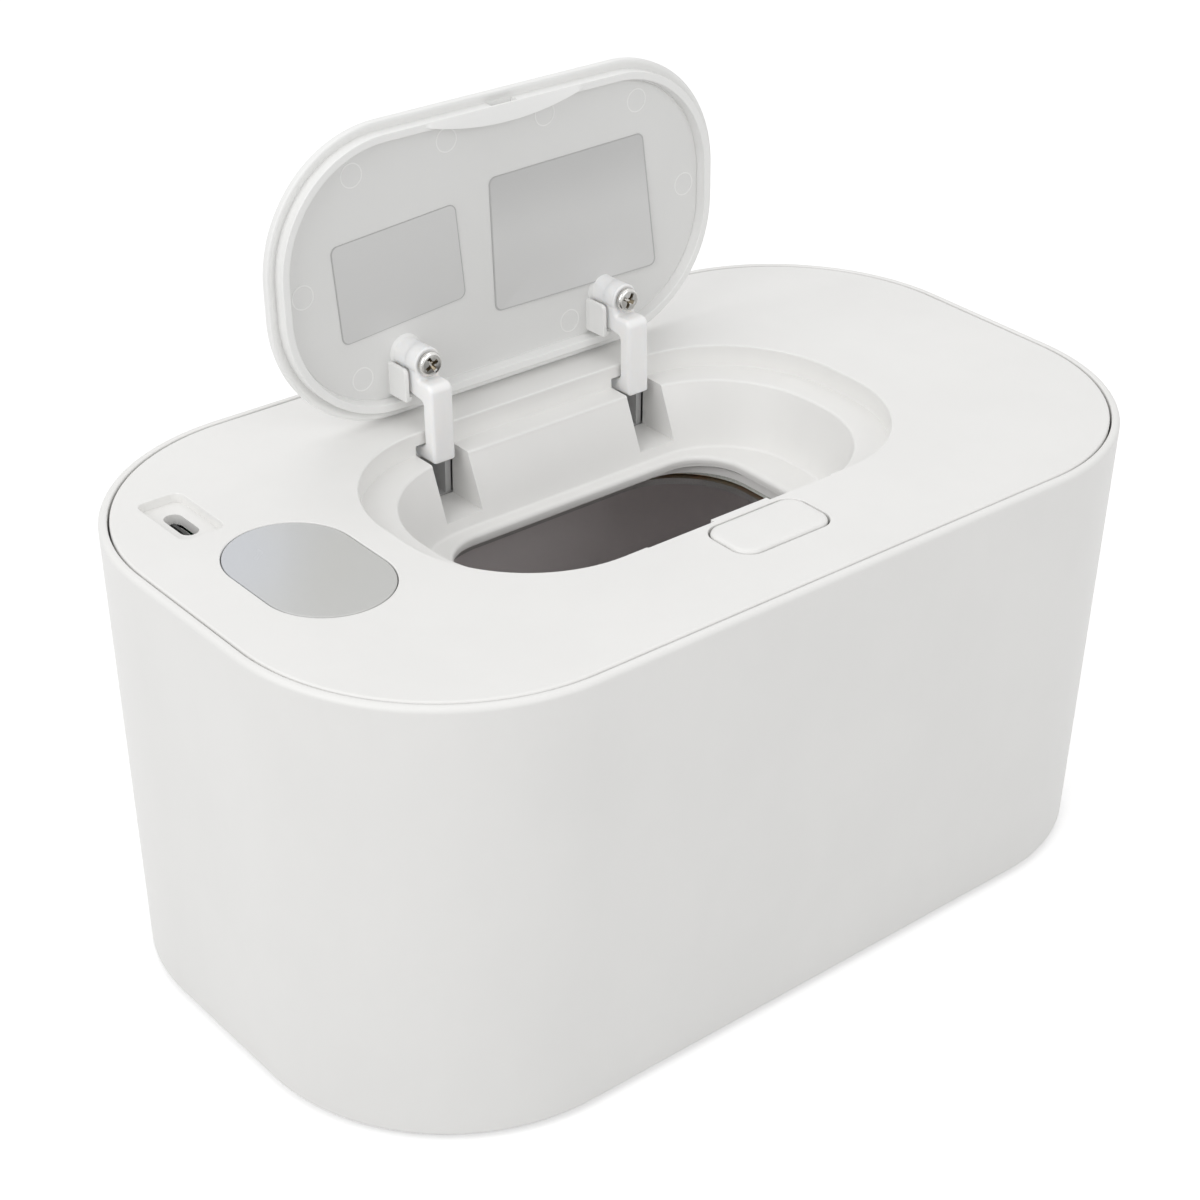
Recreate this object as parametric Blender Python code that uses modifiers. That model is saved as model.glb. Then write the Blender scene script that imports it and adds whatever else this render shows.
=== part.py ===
"""Baby wipe warmer: a casing with an inner tank, a lift-off heated cover, and a sprung hinged lid.

The part stands on its feet at z = 0, centred on the origin, with its long side along X. The hinge of
the lid is on the +Y side and the release button on the -Y side. The lid stands open at rest.
Depths are measured down from the top face of the cover.
"""

import math

import bmesh
import bpy
from mathutils import Matrix, Vector

MM = 0.001
QUARTER_TURN = math.pi / 2
FULL_TURN = math.pi * 2

# Shared by every piece
seat_gap = 0.3 * MM
overrun = 4.0 * MM
merge_distance = 0.001 * MM
large_corner_steps = 8
small_corner_steps = 4
round_steps = 2
turn_steps = 8
wire_resolution = 1
hole_sides = 12
hidden_sides = 8
pin_sides = 16
skim = 0.5 * MM
crease_angle = math.radians(65.0)

# Casing
overall_height = 100.0 * MM
shell_end_margin = 47.5 * MM
shell_side_margin = 30.95 * MM
shell_corner_growth = 17.4 * MM
shell_wall = 1.8 * MM
shell_floor = 2.0 * MM
shell_rim_round = 1.1 * MM
shell_base_round = 0.8 * MM
shell_floor_fillet = 3.0 * MM
draft_share = 0.0212
rim_gap = 0.4 * MM

# Feet
foot_proud = 1.1 * MM
foot_radius = 5.0 * MM
foot_recess = 0.9 * MM
foot_edge = 0.5 * MM
foot_end_inset = 30.2 * MM
foot_side_inset = 27.6 * MM

# Screws, all self-tapping with a pan head
large_screw_shank = 1.1 * MM
large_screw_head = 2.5 * MM
large_screw_head_height = 1.4 * MM
base_screw_end_inset = 48.2 * MM
base_screw_side_inset = 37.6 * MM
base_screw_bite = 2.6 * MM
small_screw_shank = 0.9 * MM
small_screw_head = 2.1 * MM
small_screw_head_height = 1.2 * MM
small_screw_bite = 2.6 * MM
lid_screw_shank = 1.1 * MM
lid_screw_head = 2.5 * MM
lid_screw_head_height = 1.3 * MM
screw_crown_share = 0.33
screw_boss_wall = 2.2 * MM
small_boss_wall = 1.1 * MM
screw_clearance = 0.4 * MM
drive_arm = 1.75 * MM
drive_width = 0.75 * MM
drive_depth = 0.8 * MM

# Inner tank
tank_mouth_inset = 7.4 * MM
tank_wall = 1.6 * MM
tank_floor = 1.6 * MM
tank_floor_lift = 8.3 * MM
tank_draft_share = 0.025
tank_flange = 1.8 * MM
tank_flange_inset = 0.6 * MM
tank_fillet = 6.0 * MM
tank_boss_drop = 3.9 * MM
tank_rim_step = 2.6 * MM
tank_rim_step_width = 1.2 * MM

# Cover: top plate and skirt
cover_plate = 2.2 * MM
cover_skirt_depth = 9.0 * MM
cover_skirt_wall = 1.8 * MM
cover_edge_round = 0.6 * MM

# Cover: lid pocket, ledge, well and dispensing opening
pocket_length = 117.4 * MM
pocket_width = 65.3 * MM
pocket_end_flat = 7.1 * MM
pocket_depth = 5.0 * MM
pocket_wall = 1.8 * MM
pocket_edge_round = 0.4 * MM
ledge_end = 11.6 * MM
ledge_side = 5.45 * MM
ledge_edge_round = 0.7 * MM
well_corner_inset = 4.1 * MM
well_depth = 19.0 * MM
well_slope = 5.5 * MM
well_floor_fillet = 0.8 * MM
well_wall = 1.8 * MM
well_floor_wall = 2.0 * MM
opening_end_margin = 11.0 * MM
opening_side_margin = 3.3 * MM
opening_corner = 11.0 * MM
opening_lip_round = 1.0 * MM
opening_collar_wall = 1.8 * MM
opening_collar_gap = 0.4 * MM
relief_width = 48.4 * MM
relief_depth = 0.6 * MM
relief_tab_width = 14.6 * MM
relief_tab_proud = 0.4 * MM

# Cover: hinge notches
hinge_end_margin = 32.6 * MM
hinge_set_back = 4.95 * MM
hinge_depth = 5.6 * MM
lid_open_angle = math.radians(92.0)
notch_width = 9.4 * MM
notch_roof_depth = 2.9 * MM
notch_sill = 2.4 * MM
notch_wall = 1.8 * MM
notch_tail = 0.65 * MM

# Cover: joints to the lower cover
cover_screw_end_inset = 34.0 * MM
cover_screw_side_inset = 23.4 * MM
hinge_side_screw_offset = 21.9 * MM
hinge_side_screw_inset = 15.4 * MM
cover_screw_bite = 9.0 * MM

# Lower cover
base_flange_inset = 0.6 * MM
base_flange = 1.8 * MM
base_wall_inset = 8.6 * MM
base_wall = 1.8 * MM
base_well_gap = 1.3 * MM
base_floor = 1.8 * MM
base_fillet = 2.0 * MM
base_mouth_end_gap = 3.4 * MM
base_mouth_side_gap = 0.8 * MM
seal_height = 1.2 * MM
seal_inset = 1.6 * MM
seal_width = 4.4 * MM

# Heater stack under the lower cover
heater_mouth_end_gap = 4.8 * MM
heater_mouth_side_gap = 1.4 * MM
heater_end_band = 25.1 * MM
heater_side_band = 22.2 * MM
heater_corner = 26.0 * MM
pad_height = 1.2 * MM
pad_inset = 1.0 * MM
film_height = 0.3 * MM
film_inset = 3.0 * MM
heater_plate_height = 1.5 * MM
heater_screw_inset = 12.0 * MM
heater_boss_height = 4.0 * MM
sensor_radius = 2.0 * MM
sensor_height = 4.0 * MM
sensor_edge_margin = 9.1 * MM
sensor_lead_radius = 0.45 * MM
sensor_lead_spacing = 1.6 * MM
sensor_lead_length = 3.0 * MM

# Display window
lens_inner_margin = 6.8 * MM
lens_outer_margin = 12.3 * MM
lens_width = 38.4 * MM
lens_thickness = 1.5 * MM
lens_gap = 0.2 * MM
lens_ledge = 2.0 * MM
lens_frame = 1.5 * MM
display_end_margin = 3.1 * MM
display_side_margin = 5.2 * MM

# Control board
board_thickness = 1.4 * MM
board_depth = 7.6 * MM
board_inset = 3.2 * MM
board_front_margin = 5.0 * MM
board_rear_margin = 4.43 * MM
board_post_inner_offset = 1.9 * MM
board_post_outer_offset = 1.1 * MM
board_post_side_offset = 1.8 * MM
chip_size = 5.0 * MM
chip_height = 1.0 * MM
chip_inset = 5.5 * MM
chip_y = -4.0 * MM

# USB inlet
usb_end_inset = 17.4 * MM
usb_lens_gap = 4.05 * MM
usb_recess_length = 9.7 * MM
usb_recess_width = 17.7 * MM
usb_recess_corner = 2.0 * MM
usb_recess_depth = 2.0 * MM
usb_recess_floor = 1.5 * MM
usb_shell_thickness = 3.26 * MM
usb_shell_width = 8.94 * MM
usb_shell_wall = 0.3 * MM
usb_shell_depth = 2.5 * MM
usb_tongue_thickness = 0.7 * MM
usb_tongue_width = 6.6 * MM
usb_tongue_setback = 0.7 * MM

# Release button
button_hole_length = 24.4 * MM
button_hole_width = 13.5 * MM
button_hole_corner = 4.2 * MM
button_bridge = 1.65 * MM
button_gap = 0.45 * MM
button_proud = 0.5 * MM
button_round = 1.0 * MM
button_cap = 1.4 * MM
button_skirt_depth = 3.5 * MM
button_skirt_wall = 1.2 * MM
button_flange = 1.1 * MM
button_flange_height = 1.0 * MM
button_window = 16.6 * MM
button_travel = 1.2 * MM

# Latch
cam_width = 6.0 * MM
cam_tip_depth = 5.2 * MM
cam_tip_length = 2.0 * MM
cam_set_back = 2.8 * MM
cam_root_depth = 1.9 * MM
latch_plate_depth = 7.0 * MM
latch_plate_height = 1.6 * MM
latch_plate_width = 30.0 * MM
latch_plate_length = 11.8 * MM
latch_leg_width = 14.0 * MM
latch_leg = 1.2 * MM
latch_hook_width = 4.6 * MM
latch_hook_depth = 3.0 * MM
latch_hook_height = 0.6 * MM
latch_hook_reach = 4.95 * MM
latch_hook_ramp = 1.1 * MM
latch_window_roof = 1.4 * MM
latch_follower = 1.3 * MM
latch_follower_top = 2.6 * MM
latch_seat = 1.7 * MM
latch_seat_depth = 5.1 * MM
latch_spring_radius = 1.35 * MM
latch_spring_wire = 0.5 * MM
latch_spring_length = 7.4 * MM
latch_spring_depth = 6.85 * MM
latch_spring_turns = 5
spring_rib = 1.6 * MM
spring_rib_width = 8.0 * MM
rail_wall = 1.6 * MM
rail_lip = 2.0 * MM
rail_lip_height = 1.2 * MM
rail_set_back = 0.45 * MM
rail_length = 8.75 * MM

# Lid
lid_end_gap = 1.1 * MM
lid_side_gap = 1.15 * MM
lid_skin = 2.0 * MM
lid_top_round = 0.7 * MM
lid_lip_round = 0.8 * MM
lid_rib_inset = 2.2 * MM
lid_rib = 1.7 * MM
lid_rib_height = 2.2 * MM
lid_rib_slope = 1.1 * MM
lid_boss_radius = 3.2 * MM
lid_boss_height = 4.3 * MM
lid_boss_draft = 0.25 * MM
lid_boss_pilot = 3.6 * MM
lid_tab_gap = 0.7 * MM
lid_tab = 1.0 * MM
lid_tab_height = 5.9 * MM
lid_tab_start = 1.2 * MM
lid_tab_length = 6.2 * MM
lid_tab_foot = 3.2 * MM
lid_tab_foot_height = 3.4 * MM
keeper_width = 40.0 * MM
keeper_crown = 2.7 * MM
keeper_round = 0.9 * MM
keeper_height = 2.5 * MM
keeper_front_inset = 2.0 * MM
keeper_bar = 0.6 * MM
keeper_bar_height = 0.7 * MM
keeper_slot_width = 5.4 * MM
keeper_slot_length = 1.0 * MM

# Hinge arms, measured from the hinge axis with the lid closed
arm_reach = 19.6 * MM
arm_width = 5.6 * MM
arm_eye_radius = 3.2 * MM
arm_eye_thickness = 2.6 * MM
arm_eye_tail = 13.8 * MM
arm_bar_reach = 16.2 * MM
arm_bar_drop = 5.45 * MM
arm_bar_thickness = 3.3 * MM
arm_bar_slant = 11.4 * MM
arm_bar_heel = 1.1 * MM
arm_link_front = 2.0 * MM
arm_hub_radius = 2.8 * MM
arm_hub_extra = 1.5 * MM
arm_edge_round = 0.75 * MM
arm_edge_angle = math.radians(50.0)
arm_elbow_round = 0.6 * MM
arm_shoulder_round = 1.7 * MM
arm_heel_round = 1.5 * MM
arm_crook_round = 1.2 * MM

# Hinge brackets, pins and torsion springs
pin_radius = 1.2 * MM
pin_overhang = 1.2 * MM
bracket_wall = 1.8 * MM
bracket_spring_room = 8.7 * MM
bracket_back = 5.1 * MM
bracket_roof_depth = 2.5 * MM
bracket_throat_depth = 7.1 * MM
bracket_web = 1.4 * MM
bracket_web_gap = 0.5 * MM
bracket_web_depth = 8.9 * MM
bracket_ear = 2.0 * MM
bracket_ear_depth = 8.0 * MM
bracket_ear_length = 6.4 * MM
bracket_ear_width = 6.4 * MM
bracket_ear_set_back = 3.0 * MM
torsion_radius = 2.2 * MM
torsion_wire = 0.6 * MM
torsion_turns = 5
torsion_pitch = 0.75 * MM
torsion_leg = 3.4 * MM

# Derived places
pocket_corner = (pocket_width - pocket_end_flat) / 2
shell_length = pocket_length + 2 * shell_end_margin
shell_width = pocket_width + 2 * shell_side_margin
shell_corner = pocket_corner + shell_corner_growth
foot_reach = shell_length / 2 - foot_end_inset
foot_spread = shell_width / 2 - foot_side_inset
base_screw_reach = shell_length / 2 - base_screw_end_inset
base_screw_spread = shell_width / 2 - base_screw_side_inset
cover_length = shell_length - 2 * (shell_wall + rim_gap)
cover_width = shell_width - 2 * (shell_wall + rim_gap)
cover_corner = shell_corner - shell_wall - rim_gap
well_length = pocket_length - 2 * ledge_end
well_width = pocket_width - 2 * ledge_side
well_corner = pocket_corner - well_corner_inset
well_floor_width = well_width - 2 * well_slope
well_floor_corner = well_corner - well_slope
opening_length = well_length - 2 * opening_end_margin
opening_width = well_floor_width - 2 * opening_side_margin
notch_floor_depth = well_depth - notch_sill
base_floor_depth = well_depth + well_floor_wall + base_well_gap
opening_collar_depth = base_floor_depth - opening_collar_gap
hinge_spread = pocket_length - 2 * hinge_end_margin
hinge_y = pocket_width / 2 + hinge_set_back
hinge_z = overall_height - hinge_depth
hinge_places = (-hinge_spread / 2, hinge_spread / 2)
lid_length = pocket_length - 2 * lid_end_gap
lid_width = pocket_width - 2 * lid_side_gap
lid_corner = pocket_corner - lid_end_gap
pocket_front_y = -pocket_width / 2
button_y = pocket_front_y - button_bridge - button_hole_width / 2
button_rear_y = button_y + button_hole_width / 2 - button_gap
cover_screw_reach = cover_length / 2 - cover_screw_end_inset
cover_screw_spread = cover_width / 2 - cover_screw_side_inset
hinge_side_screw_reach = hinge_spread / 2 + hinge_side_screw_offset
hinge_side_screw_spread = cover_width / 2 - hinge_side_screw_inset
heater_length = opening_length + 2 * (heater_mouth_end_gap + heater_end_band)
heater_width = opening_width + 2 * (heater_mouth_side_gap + heater_side_band)
heater_screw_reach = heater_length / 2 - heater_screw_inset
heater_screw_spread = heater_width / 2 - heater_screw_inset
sensor_x = opening_length / 2 + heater_mouth_end_gap + sensor_edge_margin
lens_inner_x = -pocket_length / 2 - lens_inner_margin
lens_outer_x = lens_outer_margin - cover_length / 2
lens_centre_x = (lens_inner_x + lens_outer_x) / 2
lens_length = lens_inner_x - lens_outer_x
lens_corner = min(lens_length, lens_width) / 2
display_length = lens_length - 2 * (lens_ledge + display_end_margin)
display_width = lens_width - 2 * (lens_ledge + display_side_margin)
usb_x = usb_end_inset - cover_length / 2
usb_y = lens_width / 2 + usb_lens_gap + usb_recess_width / 2
board_post_spread = lens_width / 2 + board_post_side_offset
board_inner_x = -pocket_length / 2 - pocket_wall
board_front_y = -board_post_spread - board_front_margin
board_rear_y = usb_y + usb_shell_width / 2 + board_rear_margin
chip_x = board_inner_x - chip_inset
base_flange_depth = cover_skirt_depth + seat_gap
base_underside_depth = base_floor_depth + base_floor
pad_depth = base_underside_depth + seat_gap
film_depth = pad_depth + pad_height + seat_gap
heater_plate_depth = film_depth + film_height + seat_gap
heater_screw_depth = heater_plate_depth + heater_plate_height + seat_gap
seal_depth = base_flange_depth + base_flange + seat_gap
tank_flange_depth = seal_depth + seal_height + seat_gap
tank_outer_inset = tank_mouth_inset - tank_wall
shell_floor_z = foot_proud + shell_floor
tank_floor_z = tank_floor_lift + tank_floor
tank_boss_z = tank_floor_lift - tank_boss_drop
cover_boss_end_depth = base_floor_depth - seat_gap

parts = None
cutters = None


def below_top(depth):
    """Height of a point that lies depth below the top face of the cover."""
    return overall_height - depth


def rounded_outline(length, width, corner, centre=(0.0, 0.0), steps=large_corner_steps):
    """Points of a rectangle with round corners, anticlockwise, as many for any size."""
    points = []
    for side_x, side_y, start in ((1, 1, 0), (-1, 1, 1), (-1, -1, 2), (1, -1, 3)):
        for step in range(steps + 1):
            angle = (start + step / steps) * QUARTER_TURN
            x = centre[0] + side_x * (length / 2 - corner) + corner * math.cos(angle)
            y = centre[1] + side_y * (width / 2 - corner) + corner * math.sin(angle)
            points.append((x, y))
    return points


def shell_outline(inset):
    """Outline of the casing's rim, moved inwards."""
    return rounded_outline(shell_length - 2 * inset, shell_width - 2 * inset, shell_corner - inset)


def cover_outline(inset, steps=large_corner_steps):
    """Outline of the cover, moved inwards."""
    return rounded_outline(
        cover_length - 2 * inset, cover_width - 2 * inset, cover_corner - inset, steps=steps)


def pocket_outline(grow):
    """Outline of the lid pocket, moved outwards."""
    return rounded_outline(pocket_length + 2 * grow, pocket_width + 2 * grow, pocket_corner + grow)


def well_outline(grow):
    """Outline of the ledge's inner edge, moved outwards."""
    return rounded_outline(well_length + 2 * grow, well_width + 2 * grow, well_corner + grow)


def well_floor_outline(grow):
    """Outline of the foot of the well's wall, moved outwards."""
    return rounded_outline(
        well_length + 2 * grow, well_floor_width + 2 * grow, well_floor_corner + grow)


def opening_outline(end_gap, side_gap, steps=large_corner_steps):
    """Outline of the dispensing opening, grown along and across."""
    return rounded_outline(
        opening_length + 2 * end_gap, opening_width + 2 * side_gap, opening_corner + side_gap,
        steps=steps)


def lid_outline(inset):
    """Outline of the lid, moved inwards, in the frame of the hinge with the lid closed."""
    return rounded_outline(
        lid_length - 2 * inset, lid_width - 2 * inset, lid_corner - inset, centre=(0.0, -hinge_y))


def quarter_arc(radius, steps=round_steps):
    """(inset, drop) pairs of a convex edge, from the wall up to the flat."""
    pairs = []
    for step in range(steps + 1):
        angle = step / steps * QUARTER_TURN
        pairs.append((radius * (1 - math.cos(angle)), radius * (1 - math.sin(angle))))
    return pairs


def rounded_path(corners, steps=round_steps):
    """Closed outline through (across, up, radius) corners, each turned with its own arc."""
    points = []
    for index, (across, up, radius) in enumerate(corners):
        corner = Vector((across, up))
        if not radius:
            points.append(tuple(corner))
            continue
        before = (Vector(corners[index - 1][:2]) - corner).normalized()
        after = (Vector(corners[(index + 1) % len(corners)][:2]) - corner).normalized()
        half = before.angle(after) / 2
        centre = corner + (before + after).normalized() * radius / math.sin(half)
        start = (corner + before * radius / math.tan(half) - centre).normalized()
        end = (corner + after * radius / math.tan(half) - centre).normalized()
        for step in range(steps + 1):
            points.append(tuple(centre + start.slerp(end, step / steps) * radius))
    return points


def start_scene():
    """Empties the scene and makes the collections for the parts and the cutters."""
    global parts, cutters
    for old in list(bpy.data.objects):
        bpy.data.objects.remove(old, do_unlink=True)
    parts = bpy.data.collections.new("baby_wipe_warmer")
    cutters = bpy.data.collections.new("cutters")
    for group in (parts, cutters):
        bpy.context.scene.collection.children.link(group)


def finish(name, colour, roughness, metallic=0.0):
    """A material with one colour, roughness and metallic value."""
    material = bpy.data.materials.new(name)
    material.use_nodes = True
    shader = material.node_tree.nodes["Principled BSDF"]
    shader.inputs["Base Color"].default_value = (*colour, 1.0)
    shader.inputs["Roughness"].default_value = roughness
    shader.inputs["Metallic"].default_value = metallic
    material.diffuse_color = (*colour, 1.0)
    return material


def add_object(name, mesh, material=None, parent=None):
    """Links a mesh to the parts, with its material and its parent."""
    piece = bpy.data.objects.new(name, mesh)
    parts.objects.link(piece)
    if material:
        mesh.materials.append(material)
    piece.parent = parent
    return piece


def close_mesh(mesh, name, is_round=False):
    """Merges, turns the faces outwards and stores a bmesh as mesh data, smooth if it is round."""
    bmesh.ops.remove_doubles(mesh, verts=mesh.verts, dist=merge_distance)
    bmesh.ops.dissolve_degenerate(mesh, edges=mesh.edges, dist=merge_distance)
    bmesh.ops.recalc_face_normals(mesh, faces=mesh.faces)
    for face in mesh.faces:
        face.smooth = is_round
    data = bpy.data.meshes.new(name)
    mesh.to_mesh(data)
    mesh.free()
    if is_round:
        data.set_sharp_from_angle(angle=crease_angle)
    return data


def loft(name, sections, material=None, parent=None, ring=False):
    """Solid through outlines at heights: capped at both ends, or joined end to start as a ring."""
    mesh = bmesh.new()
    loops = [[mesh.verts.new((x, y, z)) for x, y in outline] for outline, z in sections]
    pairs = list(zip(loops, loops[1:]))
    if ring:
        pairs.append((loops[-1], loops[0]))
    for lower, upper in pairs:
        for index, vert in enumerate(lower):
            mesh.faces.new((lower[index - 1], vert, upper[index], upper[index - 1]))
    if not ring:
        mesh.faces.new(loops[0])
        mesh.faces.new(loops[-1])
    return add_object(name, close_mesh(mesh, name), material, parent)


def from_curve(name, curve, place, material=None, parent=None, is_round=False):
    """Mesh object made from a curve with its caps welded."""
    guide = bpy.data.objects.new(name + "_guide", curve)
    parts.objects.link(guide)
    graph = bpy.context.evaluated_depsgraph_get()
    mesh = bmesh.new()
    mesh.from_mesh(bpy.data.meshes.new_from_object(guide.evaluated_get(graph)))
    mesh.transform(place)
    bpy.data.objects.remove(guide, do_unlink=True)
    return add_object(name, close_mesh(mesh, name, is_round), material, parent)


def prism(name, outlines, start, end, axis="Z", material=None, parent=None):
    """Flat outlines, the later ones holes, extruded along an axis from start to end.

    An outline is in (x, y) for Z, in (y, z) for X and in (x, z) for Y.
    """
    curve = bpy.data.curves.new(name, "CURVE")
    curve.dimensions = "2D"
    curve.fill_mode = "BOTH"
    curve.extrude = abs(end - start) / 2
    for outline in outlines:
        spline = curve.splines.new("POLY")
        spline.points.add(len(outline) - 1)
        spline.use_cyclic_u = True
        for point, (across, up) in zip(spline.points, outline):
            point.co = (across, up, 0.0, 1.0)
    turn = {
        "X": Matrix(((0, 0, 1), (1, 0, 0), (0, 1, 0))).to_4x4(),
        "Y": Matrix(((1, 0, 0), (0, 0, -1), (0, 1, 0))).to_4x4(),
        "Z": Matrix.Identity(4),
    }[axis]
    middle = (start + end) / 2
    shift = Vector([middle if letter == axis else 0.0 for letter in "XYZ"])
    return from_curve(name, curve, Matrix.Translation(shift) @ turn, material, parent)


def box(name, low, high, material=None, parent=None):
    """Box between two corners."""
    low, high = Vector(low), Vector(high)
    size = high - low
    mesh = bmesh.new()
    place = Matrix.Translation((low + high) / 2) @ Matrix.Diagonal((*size, 1.0))
    bmesh.ops.create_cube(mesh, size=1.0, matrix=place)
    return add_object(name, close_mesh(mesh, name), material, parent)


def cylinder(name, radius, low, high, axis="Z", sides=hole_sides, top_radius=None,
             material=None, parent=None):
    """Round bar or cone along an axis, from the point low to the same place at the value high."""
    index = "XYZ".index(axis)
    length = high - low[index]
    centre = Vector(low)
    centre[index] += length / 2
    turn = {
        "X": Matrix.Rotation(QUARTER_TURN, 4, "Y"),
        "Y": Matrix.Rotation(-QUARTER_TURN, 4, "X"),
        "Z": Matrix.Identity(4),
    }[axis]
    mesh = bmesh.new()
    bmesh.ops.create_cone(
        mesh, cap_ends=True, segments=sides, radius1=radius,
        radius2=radius if top_radius is None else top_radius,
        depth=length, matrix=Matrix.Translation(centre) @ turn)
    return add_object(name, close_mesh(mesh, name, is_round=True), material, parent)


def tube(name, points, radius, material=None, parent=None):
    """Round wire along points."""
    curve = bpy.data.curves.new(name, "CURVE")
    curve.dimensions = "3D"
    curve.bevel_depth = radius
    curve.bevel_resolution = wire_resolution
    curve.use_fill_caps = True
    spline = curve.splines.new("POLY")
    spline.points.add(len(points) - 1)
    for point, place in zip(spline.points, points):
        point.co = (*place, 1.0)
    return from_curve(name, curve, Matrix.Identity(4), material, parent, is_round=True)


def turned(name, profile, place, sides=pin_sides, material=None, parent=None):
    """Solid of revolution about Z from (radius, z) pairs, top to bottom, moved to a place."""
    mesh = bpy.data.meshes.new(name)
    edges = [(index, index + 1) for index in range(len(profile) - 1)]
    mesh.from_pydata([(radius, 0.0, z) for radius, z in profile], edges, [])
    guide = bpy.data.objects.new(name + "_profile", mesh)
    parts.objects.link(guide)
    screw = guide.modifiers.new("turn", "SCREW")
    screw.axis = "Z"
    screw.angle = FULL_TURN
    screw.steps = sides
    screw.render_steps = sides
    screw.use_merge_vertices = True
    screw.merge_threshold = merge_distance
    graph = bpy.context.evaluated_depsgraph_get()
    solid = bmesh.new()
    solid.from_mesh(bpy.data.meshes.new_from_object(guide.evaluated_get(graph)))
    solid.transform(place)
    bpy.data.objects.remove(guide, do_unlink=True)
    return add_object(name, close_mesh(solid, name, is_round=True), material, parent)


def combine(target, tool, operation):
    """Cuts, joins or trims the target with a tool, which becomes a helper."""
    modifier = target.modifiers.new(operation.lower() + "_" + tool.name, "BOOLEAN")
    modifier.operation = operation
    modifier.object = tool
    parts.objects.unlink(tool)
    cutters.objects.link(tool)
    tool.hide_render = True
    tool.display_type = "WIRE"


def cut(target, *tools):
    for tool in tools:
        combine(target, tool, "DIFFERENCE")


def join(target, *tools):
    for tool in tools:
        combine(target, tool, "UNION")


def four_corners(reach, spread):
    return [(x, y) for x in (-reach, reach) for y in (-spread, spread)]


def build_outer_shell(white):
    """Tapered casing, open at the top, with foot recesses and screw holes in its floor."""
    outside = []
    for inset, drop in quarter_arc(shell_base_round):
        lift = shell_base_round - drop
        height = foot_proud + shell_base_round - lift
        outside.append((shell_outline(draft_share * (overall_height - height) + inset), height))
    outside.reverse()
    for inset, drop in quarter_arc(shell_rim_round):
        outside.append((shell_outline(draft_share * drop + inset), overall_height - drop))
    inside = [(shell_outline(shell_wall), overall_height)]
    for inset, drop in quarter_arc(shell_floor_fillet):
        lift = shell_floor_fillet - drop
        height = shell_floor_z + shell_floor_fillet - lift
        inside.append(
            (shell_outline(shell_wall + draft_share * (overall_height - height) + inset), height))
    shell = loft("outer_shell", outside + inside, white)
    for x, y in four_corners(base_screw_reach, base_screw_spread):
        boss_top = tank_boss_z - seat_gap
        join(shell, cylinder("shell_boss", large_screw_head + screw_boss_wall,
                             (x, y, foot_proud + shell_floor / 2), boss_top))
        cut(shell,
            cylinder("shell_screw_hole", large_screw_shank + screw_clearance,
                     (x, y, foot_proud - overrun), boss_top + overrun),
            cylinder("shell_counterbore", large_screw_head + screw_clearance,
                     (x, y, foot_proud - overrun), foot_proud + large_screw_head_height + seat_gap))
    for x, y in four_corners(foot_reach, foot_spread):
        cut(shell, cylinder("foot_recess", foot_radius + seat_gap, (x, y, foot_proud - overrun),
                            foot_proud + foot_recess, sides=pin_sides))
    return shell


def build_feet(rubber):
    """Rubber discs pressed into the recesses of the floor."""
    top = foot_proud + foot_recess - seat_gap
    profile = ((0.0, top), (foot_radius, top), (foot_radius, foot_edge),
               (foot_radius - foot_edge, 0.0), (0.0, 0.0))
    names = {(-1, -1): "foot_front_left", (1, -1): "foot_front_right",
             (-1, 1): "foot_rear_left", (1, 1): "foot_rear_right"}
    for (side_x, side_y), name in names.items():
        place = Matrix.Translation((side_x * foot_reach, side_y * foot_spread, 0.0))
        turned(name, profile, place, material=rubber)


def build_screws(prefix, places, head_z, head_radius, head_height, shank, length, material,
                 parent=None, driven=False):
    """Pan-head screws whose shanks point up from the undersides of their heads."""
    crown = head_height * screw_crown_share
    profile = (
        (0.0, length), (shank, length), (shank, 0.0), (head_radius, 0.0),
        (head_radius, crown - head_height), (head_radius - crown, -head_height),
        (0.0, -head_height))
    sides = hole_sides if driven else hidden_sides
    for number, (x, y) in enumerate(places, start=1):
        place = Matrix.Translation((x, y, head_z))
        screw = turned(f"{prefix}_{number}", profile, place, sides=sides, material=material,
                       parent=parent)
        if driven:
            cut_drive(screw, place, head_height, parent)


def cut_drive(screw, place, head_height, parent):
    """Cuts the cross drive into a screw's head."""
    for long_x, long_y in ((drive_arm, drive_width / 2), (drive_width / 2, drive_arm)):
        slot = box("drive_slot", (-long_x, -long_y, -head_height - overrun),
                   (long_x, long_y, drive_depth - head_height), parent=parent)
        slot.data.transform(place)
        cut(screw, slot)


def build_base_screws(steel):
    """Screws from below that hold the tank down on the casing."""
    head_top = foot_proud + large_screw_head_height
    length = tank_boss_z + base_screw_bite - head_top
    build_screws("base_screw", four_corners(base_screw_reach, base_screw_spread), head_top,
                 large_screw_head, large_screw_head_height, large_screw_shank, length, steel)


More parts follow.
